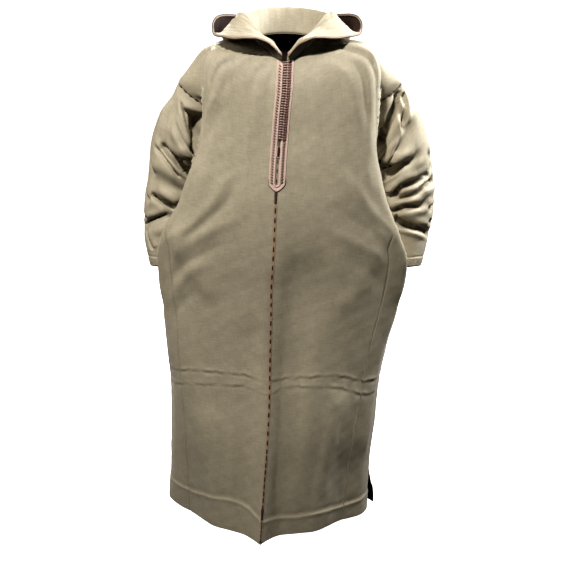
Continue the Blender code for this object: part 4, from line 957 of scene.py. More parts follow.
def running_stitches(name, points, ups, pitch, long, radius, finish, rise=None):
    """Straight stitches of length long, one each pitch, that dive into the cloth at both ends."""
    starts = np.arange(0.0, line_length(points) - long, pitch)
    steps = np.linspace(0.0, 1.0, 5)
    spots, normal = at_lengths(points, ups, starts[:, None] + long * steps)
    lift = (radius if rise is None else rise) * (1.6 * np.sin(np.pi * steps) - 0.6)
    paths = spots + lift[None, :, None] * normal
    taper = 0.45 + 0.55 * np.sin(np.pi * steps)
    return strands(name, paths, normal, radius, finish, 0.8, 5, taper)


# ---- body panels ----


def armhole_half(level):
    """Half width of the armhole in degrees of turn."""
    inside = np.clip(1 - ((level - ARMHOLE_MIDDLE) / ARMHOLE_REACH) ** 2, 0.0, 1.0)
    return ARMHOLE_TURN * inside ** (ARMHOLE_POWER / 2)


def side_opening(level):
    """Half width in metres of the hand slit, of the vent, or of a closed seam."""
    slit = np.sin(np.pi * np.clip((level - SLIT_TOP) / (SLIT_FOOT - SLIT_TOP), 0.0, 1.0))
    vent = np.clip((level - VENT_TOP) / (HEM_LEVEL - VENT_TOP), 0.0, 1.0)
    return SEAM_GAP / 2 + SLIT_HALF * slit ** 0.6 + VENT_HALF * vent


def side_line(level, hand, towards):
    """Turn of the front (towards -1) or back (+1) edge at the side of the body."""
    edge = TURN_SIDE + towards * armhole_half(level)
    return ease(hand * edge, level, hand * towards * side_opening(level))


def gore_line(level):
    """Turn of the seam between front and gore: the side seam above, the gore seam below."""
    drop = np.clip((level - GORE_TOP) / (GORE_SHOULDER - GORE_TOP), 0.0, 1.0)
    return GORE_TURN + (TURN_SIDE - GORE_TURN) * (1 - drop) ** GORE_SWEEP


def panel_levels():
    """Levels of the rows: close together at the armhole, the pressed creases and the hem."""
    swing = np.linspace(0.0, np.pi, ARMHOLE_ROWS + 1)
    share = np.linspace(0.0, 1.0, CHEST_ROWS + 1)[:-1] ** CHEST_CROWD
    chest = NECK_LEVEL + (ARMHOLE_TOP - NECK_LEVEL) * share
    parts = [chest, ARMHOLE_MIDDLE - ARMHOLE_REACH * np.cos(swing)]
    parts += [np.linspace(low, high, count + 1)[1:] for low, high, count in ROWS_BELOW]
    return np.concatenate(parts)


def body_panel(name, start, end, level, steps, finishes):
    """A panel between two edges, given as turns at each level; its seams sink in a little."""
    turn = start[:, None] + (end - start)[:, None] * crowded(steps)[None, :]
    turn = (turn + 180.0) % 360.0 - 180.0
    rows = np.repeat(level[:, None], steps + 1, axis=1)
    outer = cloth_body(turn, rows)
    for swing, hand in zip(VENT_SWING.get(name, (0.0, 0.0)), (-1.0, 1.0)):
        corner = body(hand * np.full(rows.shape, TURN_SIDE), rows)
        near = np.exp(-(np.linalg.norm(outer - corner, axis=-1) / SWING_WIDTH) ** 2)
        out = hand * swing * near * soft_step(VENT_TOP - SWING_START, HEM_LEVEL, rows)
        outer = outer + np.stack([out, 0 * out, 0 * out], axis=-1)
    normal = grid_normals(outer, body_normals(turn[::8, ::8], rows[::8, ::8]).mean(axis=(0, 1)))
    run = runs(outer)
    near = np.minimum(run, run[:, -1:] - run)
    sink = np.exp(-(near / SEAM_WIDTH) ** 2)
    outer = outer - (SEAM_SINK * sink)[..., None] * normal
    uv = np.stack([run + PANEL_SHIFT.get(name, 0.0), rows], axis=-1)
    thing = cloth_shell(name + "_cloth", outer, normal, uv, finishes, seam=sink)
    return thing, outer, normal


def make_fronts(finishes):
    """The two front panels."""
    level = panel_levels()
    made = {}
    for name, hand in (("front_left", -1.0), ("front_right", 1.0)):
        start = ease(np.zeros(len(level)), level, hand * SEAM_GAP / 2)
        side = side_line(level, hand, -1.0)
        gore = ease(hand * gore_line(level), level, -hand * SEAM_GAP / 2)
        end = np.where(level <= GORE_TOP, side, gore)
        made[name] = body_panel(name, start, end, level, FRONT_COLUMNS, finishes)
    return made


def make_gores(finishes):
    """The side gores."""
    level = panel_levels()
    level = level[level > GORE_TOP + 1e-6]
    made = {}
    for name, hand in (("gore_left", -1.0), ("gore_right", 1.0)):
        start = ease(hand * gore_line(level), level, hand * SEAM_GAP / 2)
        end = side_line(level, hand, -1.0)
        made[name] = body_panel(name, start, end, level, GORE_COLUMNS, finishes)
    return made


def make_back(finishes):
    """The back panel."""
    level = panel_levels()
    start = side_line(level, 1.0, 1.0)
    end = 360.0 + side_line(level, -1.0, 1.0)
    return {"back": body_panel("back", start, end, level, BACK_COLUMNS, finishes)}


# ---- sleeves ----


def armhole_point(hand, around):
    """Turn and level of a place on the armhole: 0 is its top, 90 its front, 180 its foot."""
    swing = np.radians(around)
    wide = np.sign(np.sin(swing)) * np.abs(np.sin(swing)) ** ARMHOLE_POWER
    return hand * (TURN_SIDE - ARMHOLE_TURN * wide), ARMHOLE_MIDDLE - ARMHOLE_REACH * np.cos(swing)


def sleeve(hand):
    """The surface of one sleeve as a function of (round, along)."""
    name = "sleeve_left" if hand < 0 else "sleeve_right"
    table = np.array(SLEEVE_SECTIONS).T
    stops = np.concatenate([[0.0], table[0]])

    def surface(around, along):
        """Points of the sleeve at around (degrees) and along (share from armhole to cuff)."""
        swing = np.radians(around)
        loop = body(*armhole_point(hand, around))
        rings = [loop]
        for _, left, right, outer_z, inner_x, inner_z, mid_y, half_y in SLEEVE_SECTIONS:
            outer_x = left if hand < 0 else right
            x = hand * ((outer_x + inner_x) / 2 + (outer_x - inner_x) / 2 * np.cos(swing))
            z = (outer_z + inner_z) / 2 + (outer_z - inner_z) / 2 * np.cos(swing)
            rings.append(np.stack([x, mid_y - half_y * np.sin(swing), z], axis=-1))
        rings[-1][..., 2] += CUFF_TILT * np.sin(swing)
        rings[-2][..., 2] += CUFF_TILT * CUFF_TILT_SHARE * np.sin(swing)
        stack = np.stack(rings, axis=-1)
        point = np.stack([curve(stops, stack[..., c, :], along) for c in range(3)], axis=-1)
        height = fold_height(around, along, SLEEVE_FOLDS[name], SLEEVE_SCALE)
        axis_x = curve(table[0], (table[1] + table[4]) / 2, along) * hand
        axis_y = curve(table[0], table[6], along)
        out = np.stack([point[..., 0] - axis_x, point[..., 1] - axis_y,
                        np.zeros(np.shape(along))], axis=-1)
        out = out / np.maximum(np.linalg.norm(out, axis=-1, keepdims=True), 1e-6)
        fade = np.clip(along / SLEEVE_FADE, 0.0, 1.0)
        return point + (height * fade)[..., None] * out

    return surface


def make_sleeve(name, hand, finishes):
    """One sleeve with its creases, from the armhole seam to the cuff."""
    surface = sleeve(hand)
    around = np.arange(SLEEVE_COLUMNS) * (360.0 / SLEEVE_COLUMNS)
    a, b = np.meshgrid(around, crowded(SLEEVE_ROWS))
    height, shift_a, shift_b = crease_field(a, b, SLEEVE_CREASES[name], SLEEVE_SCALE)
    deep, deep_a, deep_b = deep_field(a, b, DEEP_FOLDS[name], SLEEVE_SCALE)
    height, shift_a, shift_b = height + deep, shift_a + deep_a, shift_b + deep_b
    near_seam = np.exp(-(b * SLEEVE_LENGTH / ARMHOLE_FADE) ** 2)
    fade = (1.0 - near_seam) * (1.0 - np.exp(-((1.0 - b) * SLEEVE_LENGTH / CUFF_FADE) ** 2))
    uv = np.stack([a * SLEEVE_SCALE[0], b * SLEEVE_SCALE[1]], axis=-1)
    height = height * fade + gentle_waves(uv[..., 0], uv[..., 1], SLEEVE_WAVES) * fade
    cuff = (b - CUFF_FOLD) * SLEEVE_LENGTH
    height = height + CUFF_STEP * soft_step(-CUFF_EDGE, CUFF_EDGE, cuff)
    height = height - BEAD_FURROW * CUFF_STEP * np.exp(-((cuff + CUFF_FURROW[0]) / CUFF_FURROW[1]) ** 2)
    a_to, b_to = a + shift_a * fade, np.clip(b + shift_b * fade, 0.0, 1.0)
    outer = surface(a_to, b_to)
    normal = hand * normals(surface, a_to, np.clip(b_to, 0.012, 0.988), 1.0, 0.01)
    outer = outer + height[..., None] * normal
    ring_turn, ring_level = armhole_point(hand, a[0])
    loop = body(ring_turn, ring_level)
    seam_line = cloth_body(ring_turn, ring_level) - SEAM_SINK * body_normals(ring_turn, ring_level)
    outer = outer + near_seam[..., None] * (seam_line - loop)[None]
    outer[0] += SEAM_CLEAR * SEAM_GAP * unit(outer[2] - outer[0])
    normal = grid_normals_closed(outer, normal)
    thing = cloth_shell(name + "_cloth", outer, normal, uv, finishes, closed=True, seam=near_seam)
    return thing, outer, normal


def grid_normals_closed(points, towards):
    """Unit normals of a grid whose last column meets its first."""
    wide = np.concatenate([points[:, -2:], points, points[:, :2]], axis=1)
    normal = unit(np.cross(np.gradient(wide, axis=0), np.gradient(wide, axis=1)))[:, 2:-2]
    return normal * np.sign(np.sum(normal * towards))


# ---- hood ----


def hood(angle, share):
    """Points of the hood: angle from -180 to 180 round the neck, share along the profile."""
    table = np.array(HOOD_STATIONS).T
    angle = (angle + 180.0) % 360.0 - 180.0
    turn = np.abs(angle)
    hand = np.sign(angle)
    seam = body(angle, np.full(np.shape(angle), NECK_LEVEL))
    swing = np.radians(turn)
    xs, ys, zs = [seam[..., 0]], [seam[..., 1]], [seam[..., 2]]
    right = np.sin(swing) ** 2 * (hand > 0)
    for k in range(1, len(HOOD_COLUMNS), 2):
        reach = curve(table[0], table[k], turn)
        xs.append(hand * reach * (1 + HOOD_RIGHT_WIDER * right) * np.sin(swing))
        ys.append(-reach * np.cos(swing))
        zs.append(curve(table[0], table[k + 1], turn) + HOOD_RIGHT_RISE * right)
    return np.stack([curve(PROFILE_STOPS, np.stack(c, axis=-1), share) for c in (xs, ys, zs)],
                    axis=-1)


def rounded_hood(angle, share):
    """The hood with the foot of its bag rounded."""
    point = hood(angle, share)
    turn = (angle + 180.0) % 360.0 - 180.0
    off = share - HOOD_FOOT
    reach = BAG_WIDEN * off * np.exp(-(off / BAG_SPREAD) ** 2) * soft_step(BAG_FROM, BAG_TO, np.abs(turn))
    swing = np.radians(turn)
    point = point + reach[..., None] * np.stack([np.sin(swing), -np.cos(swing), 0 * swing], axis=-1)
    flap = soft_step(*FLAP_SHARES, share) * soft_step(*FLAP_RISE, np.abs(turn))
    flap = flap * (1.0 - soft_step(*FLAP_FALL, np.abs(turn)))
    point[..., 1] -= FLAP_FORWARD * flap
    return point


def make_hood(finishes):
    """The hood, from the left of the front opening round the back to the right."""
    half = HOOD_START + (180.0 - HOOD_START) * np.linspace(0.0, 1.0, HOOD_COLUMNS_FINE + 1) ** HOOD_CROWD
    angle = np.concatenate([-half[:-1], [180.0], half[:-1][::-1]])
    share = np.linspace(0.0, 1.0, HOOD_ROWS + 1)
    a, b = np.meshgrid(angle, share, indexing="ij")
    scale = (HOOD_GIRTH / 360.0, HOOD_REACH)
    height, _, _ = crease_field(a, b, HOOD_CREASES, scale)
    fade = soft_step(0.0, 0.06, b)
    height = (height + gentle_waves(a * scale[0], b * scale[1], HOOD_WAVES)) * fade
    base = normals(rounded_hood, a, np.clip(b, 0.01, 0.99), 0.5, 0.01)
    outer = rounded_hood(a, b) + height[..., None] * base
    outer[:, 0] += SEAM_CLEAR * SEAM_GAP * unit(outer[:, 1] - outer[:, 0])
    normal = grid_normals(outer, base)
    uv = np.stack([a * scale[0], b * scale[1]], axis=-1)
    # the cells inside the bag that get the dark reverse finish, painted shade
    behind = (np.abs(a) > BAG_TURN - BAG_SKEW * (b - BAG_SHARE) / BAG_SKEW_SPAN) & (b > BAG_SHARE)
    seam = 1.0 - soft_step(0.0, 0.02, b)
    thing = cloth_shell("hood_cloth", outer, normal, uv, finishes, seam=seam, inside=behind)
    return thing, outer, normal


# ---- finishes ----

FULL_TURN = 6.2832
TWILL_THREADS = 900.0    # diagonal ribs in each metre
TWILL_LEAN = 0.7         # how steep they run
PLY_LEAN = 1.4           # the same for the plies of a thread
PLY_PITCH = 7400.0


def node_group(name, inputs, outputs):
    """An empty shader node group with named sockets."""
    group = bpy.data.node_groups.new(name, "ShaderNodeTree")
    for label, kind, value in inputs:
        socket = group.interface.new_socket(label, in_out="INPUT", socket_type=kind)
        if value is not None:
            socket.default_value = value
    for label, kind in outputs:
        group.interface.new_socket(label, in_out="OUTPUT", socket_type=kind)
    return group, group.nodes.new("NodeGroupInput"), group.nodes.new("NodeGroupOutput")


def maths(nodes, links, operation, first, second=None, third=None):
    """A Math node; each value is a socket or a number."""
    node = nodes.new("ShaderNodeMath")
    node.operation = operation
    for slot, value in zip(node.inputs, (first, second, third)):
        if value is None:
            continue
        if isinstance(value, bpy.types.NodeSocket):
            links.new(value, slot)
        else:
            slot.default_value = value
    return node.outputs[0]


def noise(nodes, links, place, scale, detail, rough=0.5):
    """A noise texture's value at place."""
    node = nodes.new("ShaderNodeTexNoise")
    node.inputs["Scale"].default_value = scale
    node.inputs["Detail"].default_value = detail
    node.inputs["Roughness"].default_value = rough
    links.new(place, node.inputs["Vector"])
    return node.outputs["Fac"]


def twill_group():
    """Fine diagonal twill: a height from 0 to 1."""
    group, inlet, outlet = node_group("fine_twill", [("Place", "NodeSocketVector", None),
                                                     ("Threads", "NodeSocketFloat", 900.0)],
                                      [("Height", "NodeSocketFloat")])
    nodes, links = group.nodes, group.links
    apart = nodes.new("ShaderNodeSeparateXYZ")
    links.new(inlet.outputs["Place"], apart.inputs[0])
    waver = noise(nodes, links, inlet.outputs["Place"], 260.0, 2.0)
    lean = maths(nodes, links, "MULTIPLY", apart.outputs[1], TWILL_LEAN)
    slant = maths(nodes, links, "ADD", apart.outputs[0], lean)
    count = maths(nodes, links, "MULTIPLY", slant, inlet.outputs["Threads"])
    count = maths(nodes, links, "MULTIPLY", count, FULL_TURN)
    count = maths(nodes, links, "ADD", count, maths(nodes, links, "MULTIPLY", waver, 3.0))
    ridge = maths(nodes, links, "MULTIPLY_ADD", maths(nodes, links, "SINE", count), 0.5, 0.5)
    links.new(ridge, outlet.inputs["Height"])
    return group


def heather_group():
    """Uneven yarn, dye and lint: a tone near 1, and a soft height."""
    group, inlet, outlet = node_group("heather", [("Place", "NodeSocketVector", None),
                                                  ("Strength", "NodeSocketFloat", 0.1)],
                                      [("Tone", "NodeSocketFloat"), ("Height", "NodeSocketFloat")])
    nodes, links = group.nodes, group.links
    place = inlet.outputs["Place"]
    parts = []
    for stretch, scale, detail, share in (((1.0, 1.0, 1.0), 6.0, 3.0, 0.55),
                                          ((1.0, 1.0, 1.0), 55.0, 3.0, 0.55),
                                          ((0.10, 1.0, 1.0), 420.0, 2.0, 1.10),
                                          ((1.0, 0.10, 1.0), 420.0, 2.0, 0.70)):
        spread = nodes.new("ShaderNodeVectorMath")
        spread.operation = "MULTIPLY"
        spread.inputs[1].default_value = stretch
        links.new(place, spread.inputs[0])
        value = noise(nodes, links, spread.outputs[0], scale, detail, 0.6)
        parts.append(maths(nodes, links, "MULTIPLY_ADD", value, share, -0.5 * share))
    slubs = maths(nodes, links, "ADD", parts[2], parts[3])
    mixed = maths(nodes, links, "ADD", maths(nodes, links, "ADD", parts[0], parts[1]), slubs)
    tone = maths(nodes, links, "MULTIPLY_ADD", mixed, inlet.outputs["Strength"], 1.0)
    links.new(tone, outlet.inputs["Tone"])
    links.new(maths(nodes, links, "ADD", slubs, 0.5), outlet.inputs["Height"])
    return group


def linear(colour):
    """A colour given as 0 to 255 screen values, as linear light."""
    share = np.array(colour, float) / 255.0
    return tuple(np.where(share <= 0.04045, share / 12.92, ((share + 0.055) / 1.055) ** 2.4)) + (1.0,)


def place_group(group, nodes, links, **values):
    """A group node; each value is a socket or a number."""
    node = nodes.new("ShaderNodeGroup")
    node.node_tree = group
    for label, value in values.items():
        if isinstance(value, bpy.types.NodeSocket):
            links.new(value, node.inputs[label])
        else:
            node.inputs[label].default_value = value
    return node


def mix_colour(nodes, links, share, first, second):
    """Two colours mixed; each is a socket or a colour."""
    node = nodes.new("ShaderNodeMix")
    node.data_type = "RGBA"
    for slot, value in ((node.inputs[0], share), (node.inputs[6], first), (node.inputs[7], second)):
        if isinstance(value, bpy.types.NodeSocket):
            links.new(value, slot)
        else:
            slot.default_value = value
    return node.outputs[2]


def empty_finish(name):
    """A new material: itself, its nodes, its links, its shader and the place on the cut cloth."""
    finish = bpy.data.materials.new(name)
    finish.use_nodes = True
    nodes, links = finish.node_tree.nodes, finish.node_tree.links
    place = nodes.new("ShaderNodeUVMap")
    place.uv_map = "cut"
    return finish, nodes, links, nodes["Principled BSDF"], place.outputs["UV"]


def raise_surface(nodes, links, shader, height, strength, distance):
    """A Bump node that turns height into relief on the shader."""
    bump = nodes.new("ShaderNodeBump")
    bump.inputs["Strength"].default_value = strength
    bump.inputs["Distance"].default_value = distance
    links.new(height, bump.inputs["Height"])
    links.new(bump.outputs["Normal"], shader.inputs["Normal"])


def cloth_finish(name, colour, dark, twill, heather, roughness, sheen, tint):
    """Wool cloth: twill, uneven dye, and darker near the seams: partly wear, partly painted shade in the
    seam groove.
    """
    finish, nodes, links, shader, spot = empty_finish(name)
    weave = place_group(twill, nodes, links, Place=spot, Threads=TWILL_THREADS).outputs["Height"]
    dye = place_group(heather, nodes, links, Place=spot, Strength=0.42)
    tone = maths(nodes, links, "MULTIPLY_ADD", weave, 0.05, -0.025)
    tone = maths(nodes, links, "ADD", tone, dye.outputs["Tone"])
    # near the seams the colour turns towards dark: partly wear, partly painted shade in the seam groove
    near = nodes.new("ShaderNodeAttribute")
    near.attribute_name = "seam_near"
    shade = maths(nodes, links, "MULTIPLY", near.outputs["Fac"], 0.22)
    base = mix_colour(nodes, links, shade, linear(colour), linear(dark))
    shown = nodes.new("ShaderNodeVectorMath")
    shown.operation = "SCALE"
    links.new(base, shown.inputs[0])
    links.new(tone, shown.inputs["Scale"])
    links.new(shown.outputs[0], shader.inputs["Base Color"])
    rough = maths(nodes, links, "MULTIPLY_ADD", dye.outputs["Height"], 0.12, roughness - 0.06)
    links.new(rough, shader.inputs["Roughness"])
    lumps = maths(nodes, links, "MULTIPLY", dye.outputs["Height"], 3.0)
    raise_surface(nodes, links, shader, maths(nodes, links, "ADD", weave, lumps), 0.35, 0.0003)
    shader.inputs["Sheen Weight"].default_value = sheen
    shader.inputs["Sheen Roughness"].default_value = 0.45
    shader.inputs["Sheen Tint"].default_value = linear(tint)
    shader.inputs["Specular IOR Level"].default_value = 0.35
    return finish


def thread_finish(name, colour, dark, roughness, sheen):
    """Silk or cotton thread: fine plies, with painted shade darkening the furrows between them."""
    finish, nodes, links, shader, spot = empty_finish(name)
    plies = place_group(strand_effect, nodes, links, Place=spot)
    links.new(mix_colour(nodes, links, plies.outputs["Furrow"], linear(colour), linear(dark)),
              shader.inputs["Base Color"])
    rough = maths(nodes, links, "MULTIPLY_ADD", plies.outputs["Furrow"], 0.25, roughness)
    links.new(rough, shader.inputs["Roughness"])
    raise_surface(nodes, links, shader, plies.outputs["Height"], 0.5, 0.00015)
    shader.inputs["Sheen Weight"].default_value = sheen
    shader.inputs["Sheen Roughness"].default_value = 0.4
    shader.inputs["Specular IOR Level"].default_value = 0.4
    return finish


def strand_group():
    """Fine plies of a thread: a height, and a mask for the furrows between them that carries painted shade.
    """
    group, inlet, outlet = node_group("strand_plies", [("Place", "NodeSocketVector", None)],
                                      [("Height", "NodeSocketFloat"), ("Furrow", "NodeSocketFloat")])
    nodes, links = group.nodes, group.links
    apart = nodes.new("ShaderNodeSeparateXYZ")
    links.new(inlet.outputs["Place"], apart.inputs[0])
    lean = maths(nodes, links, "MULTIPLY", apart.outputs[1], PLY_LEAN)
    slant = maths(nodes, links, "ADD", apart.outputs[0], lean)
    wave = maths(nodes, links, "SINE", maths(nodes, links, "MULTIPLY", slant, PLY_PITCH))
    fuzz = noise(nodes, links, inlet.outputs["Place"], 900.0, 2.0)
    height = maths(nodes, links, "MULTIPLY_ADD", wave, 0.5, 0.5)
    links.new(height, outlet.inputs["Height"])
    furrow = maths(nodes, links, "MULTIPLY_ADD", height, -0.5, 0.5)
    furrow = maths(nodes, links, "ADD", furrow, maths(nodes, links, "MULTIPLY_ADD", fuzz, 0.5, -0.2))
    links.new(furrow, outlet.inputs["Furrow"])
    return group


# ---- trimmings ----


def front_point(across, level, lift):
    """A point lifted from the creased front, across metres from the centre seam, and its normal."""
    across, level = np.broadcast_arrays(np.asarray(across, float), np.asarray(level, float))
    turn = ease(np.zeros(across.shape), level, across)
    normal = body_normals(turn, level)
    sink = SEAM_SINK * 0.4 * np.exp(-(across / SEAM_WIDTH) ** 2)
    return cloth_body(turn, level) + (lift - sink)[..., None] * normal, normal


def respaced(points, normal, step):
    """The same line with points step metres apart."""
    total = line_length(points)
    return at_lengths(points, normal, np.linspace(0.0, total, max(int(total / step), 8)))


def twisted_cord(name, lines, radius, finish):
    """Two-ply cord along each of the lines, joined as one mesh; a line is (points, normals)."""
    ply, things = radius * 0.56, []
    for line, normal in lines:
        line, normal = respaced(line, normal, CORD_PITCH / CORD_STEPS)
        run = np.arange(len(line)) * CORD_PITCH / CORD_STEPS
        side = unit(np.cross(unit(np.gradient(line, axis=0)), normal))
        for phase in (0.0, np.pi):
            swing = 2.0 * np.pi * run / CORD_PITCH + phase
            coil = line + ply * (np.cos(swing)[:, None] * side + np.sin(swing)[:, None] * normal)
            things.append(strands(name, coil[None], normal[None], ply * 1.04, finish, 1.0, CORD_SIDES))
    return joined(name, things)


def joined(name, things):
    """Several meshes as one object."""
    with bpy.context.temp_override(active_object=things[0], selected_editable_objects=things):
        bpy.ops.object.join()
    things[0].name = name
    return things[0]


def placket_line(offset, lift, start=PLACKET_TOP):
    """The U-shaped line at offset from the middle of the braid: points and normals."""
    leg = np.arange(start, PLACKET_BEND, 0.002)
    swing = np.linspace(0.0, np.pi, 60)
    power = 2.0 / FOOT_POWER
    bend_a = -np.sign(np.cos(swing)) * np.abs(np.cos(swing)) ** power
    bend_b = np.sin(swing) ** power
    drop = FOOT_DROP * (offset / PLACKET_OUT)
    side = np.full(len(leg), offset)
    across = np.concatenate([-side, offset * bend_a, side])
    level = np.concatenate([leg, PLACKET_BEND + drop * bend_b, leg[::-1]])
    return front_point(PLACKET_SHIFT + across, level, np.full(across.shape, lift))


def make_placket_tape(finishes):
    """The braid's woven ground."""
    offsets = np.linspace(PLACKET_OUT, PLACKET_IN, len(TAPE_CROWN))
    rows = [placket_line(offset, lift) for offset, lift in zip(offsets, TAPE_CROWN)]
    lines = [respaced(points, normal, TAPE_STEP) for points, normal in rows]
    count = min(len(points) for points, _ in lines)
    even = [at_lengths(points, normal, np.linspace(0.0, line_length(points), count))
            for points, normal in lines]
    outer = np.stack([points for points, _ in even], axis=1)
    normal = np.stack([up for _, up in even], axis=1)
    run = np.linspace(0.0, line_length(outer[:, 4]), count)
    uv = np.stack(np.broadcast_arrays(run[:, None], offsets[None, :]), axis=-1)
    return cloth_shell("placket_tape", outer, normal, uv, finishes, wall=TAPE_WALL)


def make_placket_cords(finish):
    """Twisted cords along both edges of the braid."""
    offsets = (PLACKET_OUT - 0.0012, PLACKET_OUT - 0.0036, PLACKET_IN + 0.0016, PLACKET_IN + 0.0038)
    lines = [placket_line(offset, CORD_RADIUS + 0.0011) for offset in offsets]
    return twisted_cord("placket_cords", lines, CORD_RADIUS, finish)


def slanted_stitches(name, middle, half, top, foot, slope, finish):
    """A column of slanted stitches between two levels, middle metres from the centre seam."""
    level = np.arange(top, foot, STITCH_PITCH)
    share = np.linspace(-1.0, 1.0, 7)
    across = middle + half * share[None, :] + 0.0 * level[:, None]
    drop = level[:, None] + slope * half * share[None, :]
    rise = STITCH_RADIUS * (2.2 * np.sqrt(1.0 - (share * 0.98) ** 2) - 0.2) + 0.0012
    paths, ups = front_point(across, drop, np.broadcast_to(rise, across.shape))
    taper = 0.5 + 0.5 * np.sqrt(1.0 - (share * 0.98) ** 2)
    return strands(name, paths, ups, STITCH_RADIUS, finish, 0.8, 6, taper)


def make_placket_stitches(finish):
    """Slanted stitches in the braid's furrow, and their turn round its foot."""
    middle = (PLACKET_OUT + PLACKET_IN) / 2
    left = slanted_stitches("stitches_a", PLACKET_SHIFT - middle, STITCH_HALF, PLACKET_TOP + 0.012,
                            PLACKET_BEND - 0.002, 0.55, finish)
    right = slanted_stitches("stitches_b", PLACKET_SHIFT + middle, STITCH_HALF, LADDER_END + 0.002,
                             PLACKET_BEND - 0.002, -0.75, finish)
    points, normal = placket_line(PLACKET_OUT + 0.0006, 0.0012, PLACKET_BEND - 0.012)
    edge = strands("stitches_c", points[None], normal[None], 0.0008, finish, 0.8, 6)
    return joined("placket_stitches", [left, right, edge])


def make_ladder(ground, bars, knots):
    """The row of corded knots that closes the opening: ground, cross bars and knots."""
    level = np.arange(PLACKET_TOP, LADDER_END, 0.0032)
    share = np.linspace(0.0, 1.0, 9)
    across = LADDER_FROM + (LADDER_TO - LADDER_FROM) * share
    ac, lv = np.meshgrid(across, level)
    lift = 0.0022 + 0.0006 * np.sin(np.pi * share)[None, :] + 0.0 * lv
    outer, normal = front_point(ac, lv, lift)
    uv = np.stack([lv, ac], axis=-1)
    tape = cloth_shell("knot_ground", outer, normal, uv, [ground, ground], wall=TAPE_WALL)
    rows = np.arange(PLACKET_TOP + 0.003, LADDER_END - 0.002, KNOT_PITCH)
    share = np.linspace(0.0, 1.0, 11)
    run = LADDER_FROM - 0.0008 + (LADDER_TO - LADDER_FROM + 0.0016) * share
    waver = 0.0006 * np.sin(rows * 9000.0)[:, None] * np.sin(np.pi * share)[None, :]
    ac, lv = np.broadcast_arrays(run[None, :], rows[:, None] + waver)
    rise = 0.0030 + 0.0012 * np.sin(np.pi * share) ** 0.5
    paths, ups = front_point(ac, lv, np.broadcast_to(rise, ac.shape))
    bar = strands("cross_bars", paths, ups, BAR_RADIUS, bars, 0.9, 6)
    loops = []
    turn = np.linspace(0.0, 2.0 * np.pi, 15)
    for middle, size, high in ((KNOT_AT, KNOT_SIZE, 0.0046), (KNOT_AT + 0.0042, KNOT_SIZE * 0.8, 0.0040)):
        ac = middle + size * np.cos(turn)[None, :] + 0.0 * rows[:, None]
        lv = rows[:, None] + 0.85 * size * np.sin(turn)[None, :]
        paths, ups = front_point(ac, lv, np.full(ac.shape, high))
        loops.append(strands("knot_loops", paths, ups, KNOT_CORD, knots, 0.9, 6))
    stem_share = np.linspace(-1.0, 1.0, 6)
    ac = KNOT_AT + 0.0 * rows[:, None] + 0.9 * KNOT_SIZE * stem_share[None, :]
    lv = rows[:, None] + 0.4 * KNOT_SIZE * stem_share[None, :]
    paths, ups = front_point(ac, lv, 0.0050 + 0.0006 * (1.0 - np.broadcast_to(stem_share, ac.shape) ** 2))
    loops.append(strands("knot_hearts", paths, ups, KNOT_CORD, knots, 0.9, 6))
    return [tape, bar, joined("knot_cords", loops)]


def make_left_gaps(finish):
    """Pale stitches between the cross bars on their left side."""
    rows = np.arange(PLACKET_TOP + 0.003 + KNOT_PITCH / 2, LADDER_END - 0.004, KNOT_PITCH)
    share = np.linspace(0.0, 1.0, 6)
    ac, lv = np.broadcast_arrays(LADDER_FROM + 0.0006 + 0.0068 * share[None, :], rows[:, None])
    paths, ups = front_point(ac, lv, np.full(ac.shape, 0.0036))
    taper = 0.6 + 0.4 * np.sin(np.pi * share)
    return strands("knot_loops_pale", paths, ups, CORD_RADIUS, finish, 0.9, 6, taper)


def satin_bar(top, foot, half, finish):
    """A dense bar of threads across the centre seam."""
    rows = np.arange(top, foot, THREAD_PITCH)
    share = np.linspace(-1.0, 1.0, 9)
    width = half * (1.0 - 0.25 * (rows - top) / (foot - top))
    ac = width[:, None] * share[None, :]
    lv = rows[:, None] + 0.0 * share[None, :]
    rise = 0.0006 + 0.0016 * np.sqrt(1.0 - (0.96 * share) ** 2)
    paths, ups = front_point(ac, lv, np.broadcast_to(rise, ac.shape))
    return strands("bar", paths, ups, THREAD_PITCH * 0.62, finish, 0.9, 5)


def make_slot(bar, loop):
    """The dark bar under the last knot and the cord looped under it."""
    share = np.linspace(0.0, 1.0, 15)
    lv = SLOT_TOP + (SLOT_FOOT - SLOT_TOP) * share
    points, normal = front_point(np.full(15, SLOT_AT), lv, np.full(15, 0.0030))
    taper = np.clip(np.sqrt(1.0 - (2.0 * share - 1.0) ** 8), 0.3, 1.0)
    core = strands("slot_bar", points[None], normal[None], SLOT_HALF, bar, 0.45, 10, taper)
    stem_lv = np.linspace(LADDER_END, SLOT_TOP, 6)
    points, normal = front_point(np.full(6, SLOT_AT - 0.0010), stem_lv, np.full(6, 0.0024))
    stem = strands("slot_stem", points[None], normal[None], 0.0009, bar, 0.8, 6)
    swing = np.linspace(0.0, np.pi, 24)
    reach = SLOT_HALF + CORD_RADIUS + 0.0004
    leg = np.linspace(SLOT_TOP - 0.002, SLOT_FOOT - 0.002, 14)
    across = np.concatenate([np.full(14, -reach), -reach * np.cos(swing), np.full(14, reach)])
    level = np.concatenate([leg, SLOT_FOOT - 0.002 + 1.2 * reach * np.sin(swing), leg[::-1]])
    line = front_point(SLOT_AT + across, level, np.full(across.shape, CORD_RADIUS + 0.0012))
    return [joined("slot_bar", [core, stem]), twisted_cord("slot_loop", [line], CORD_RADIUS, loop)]


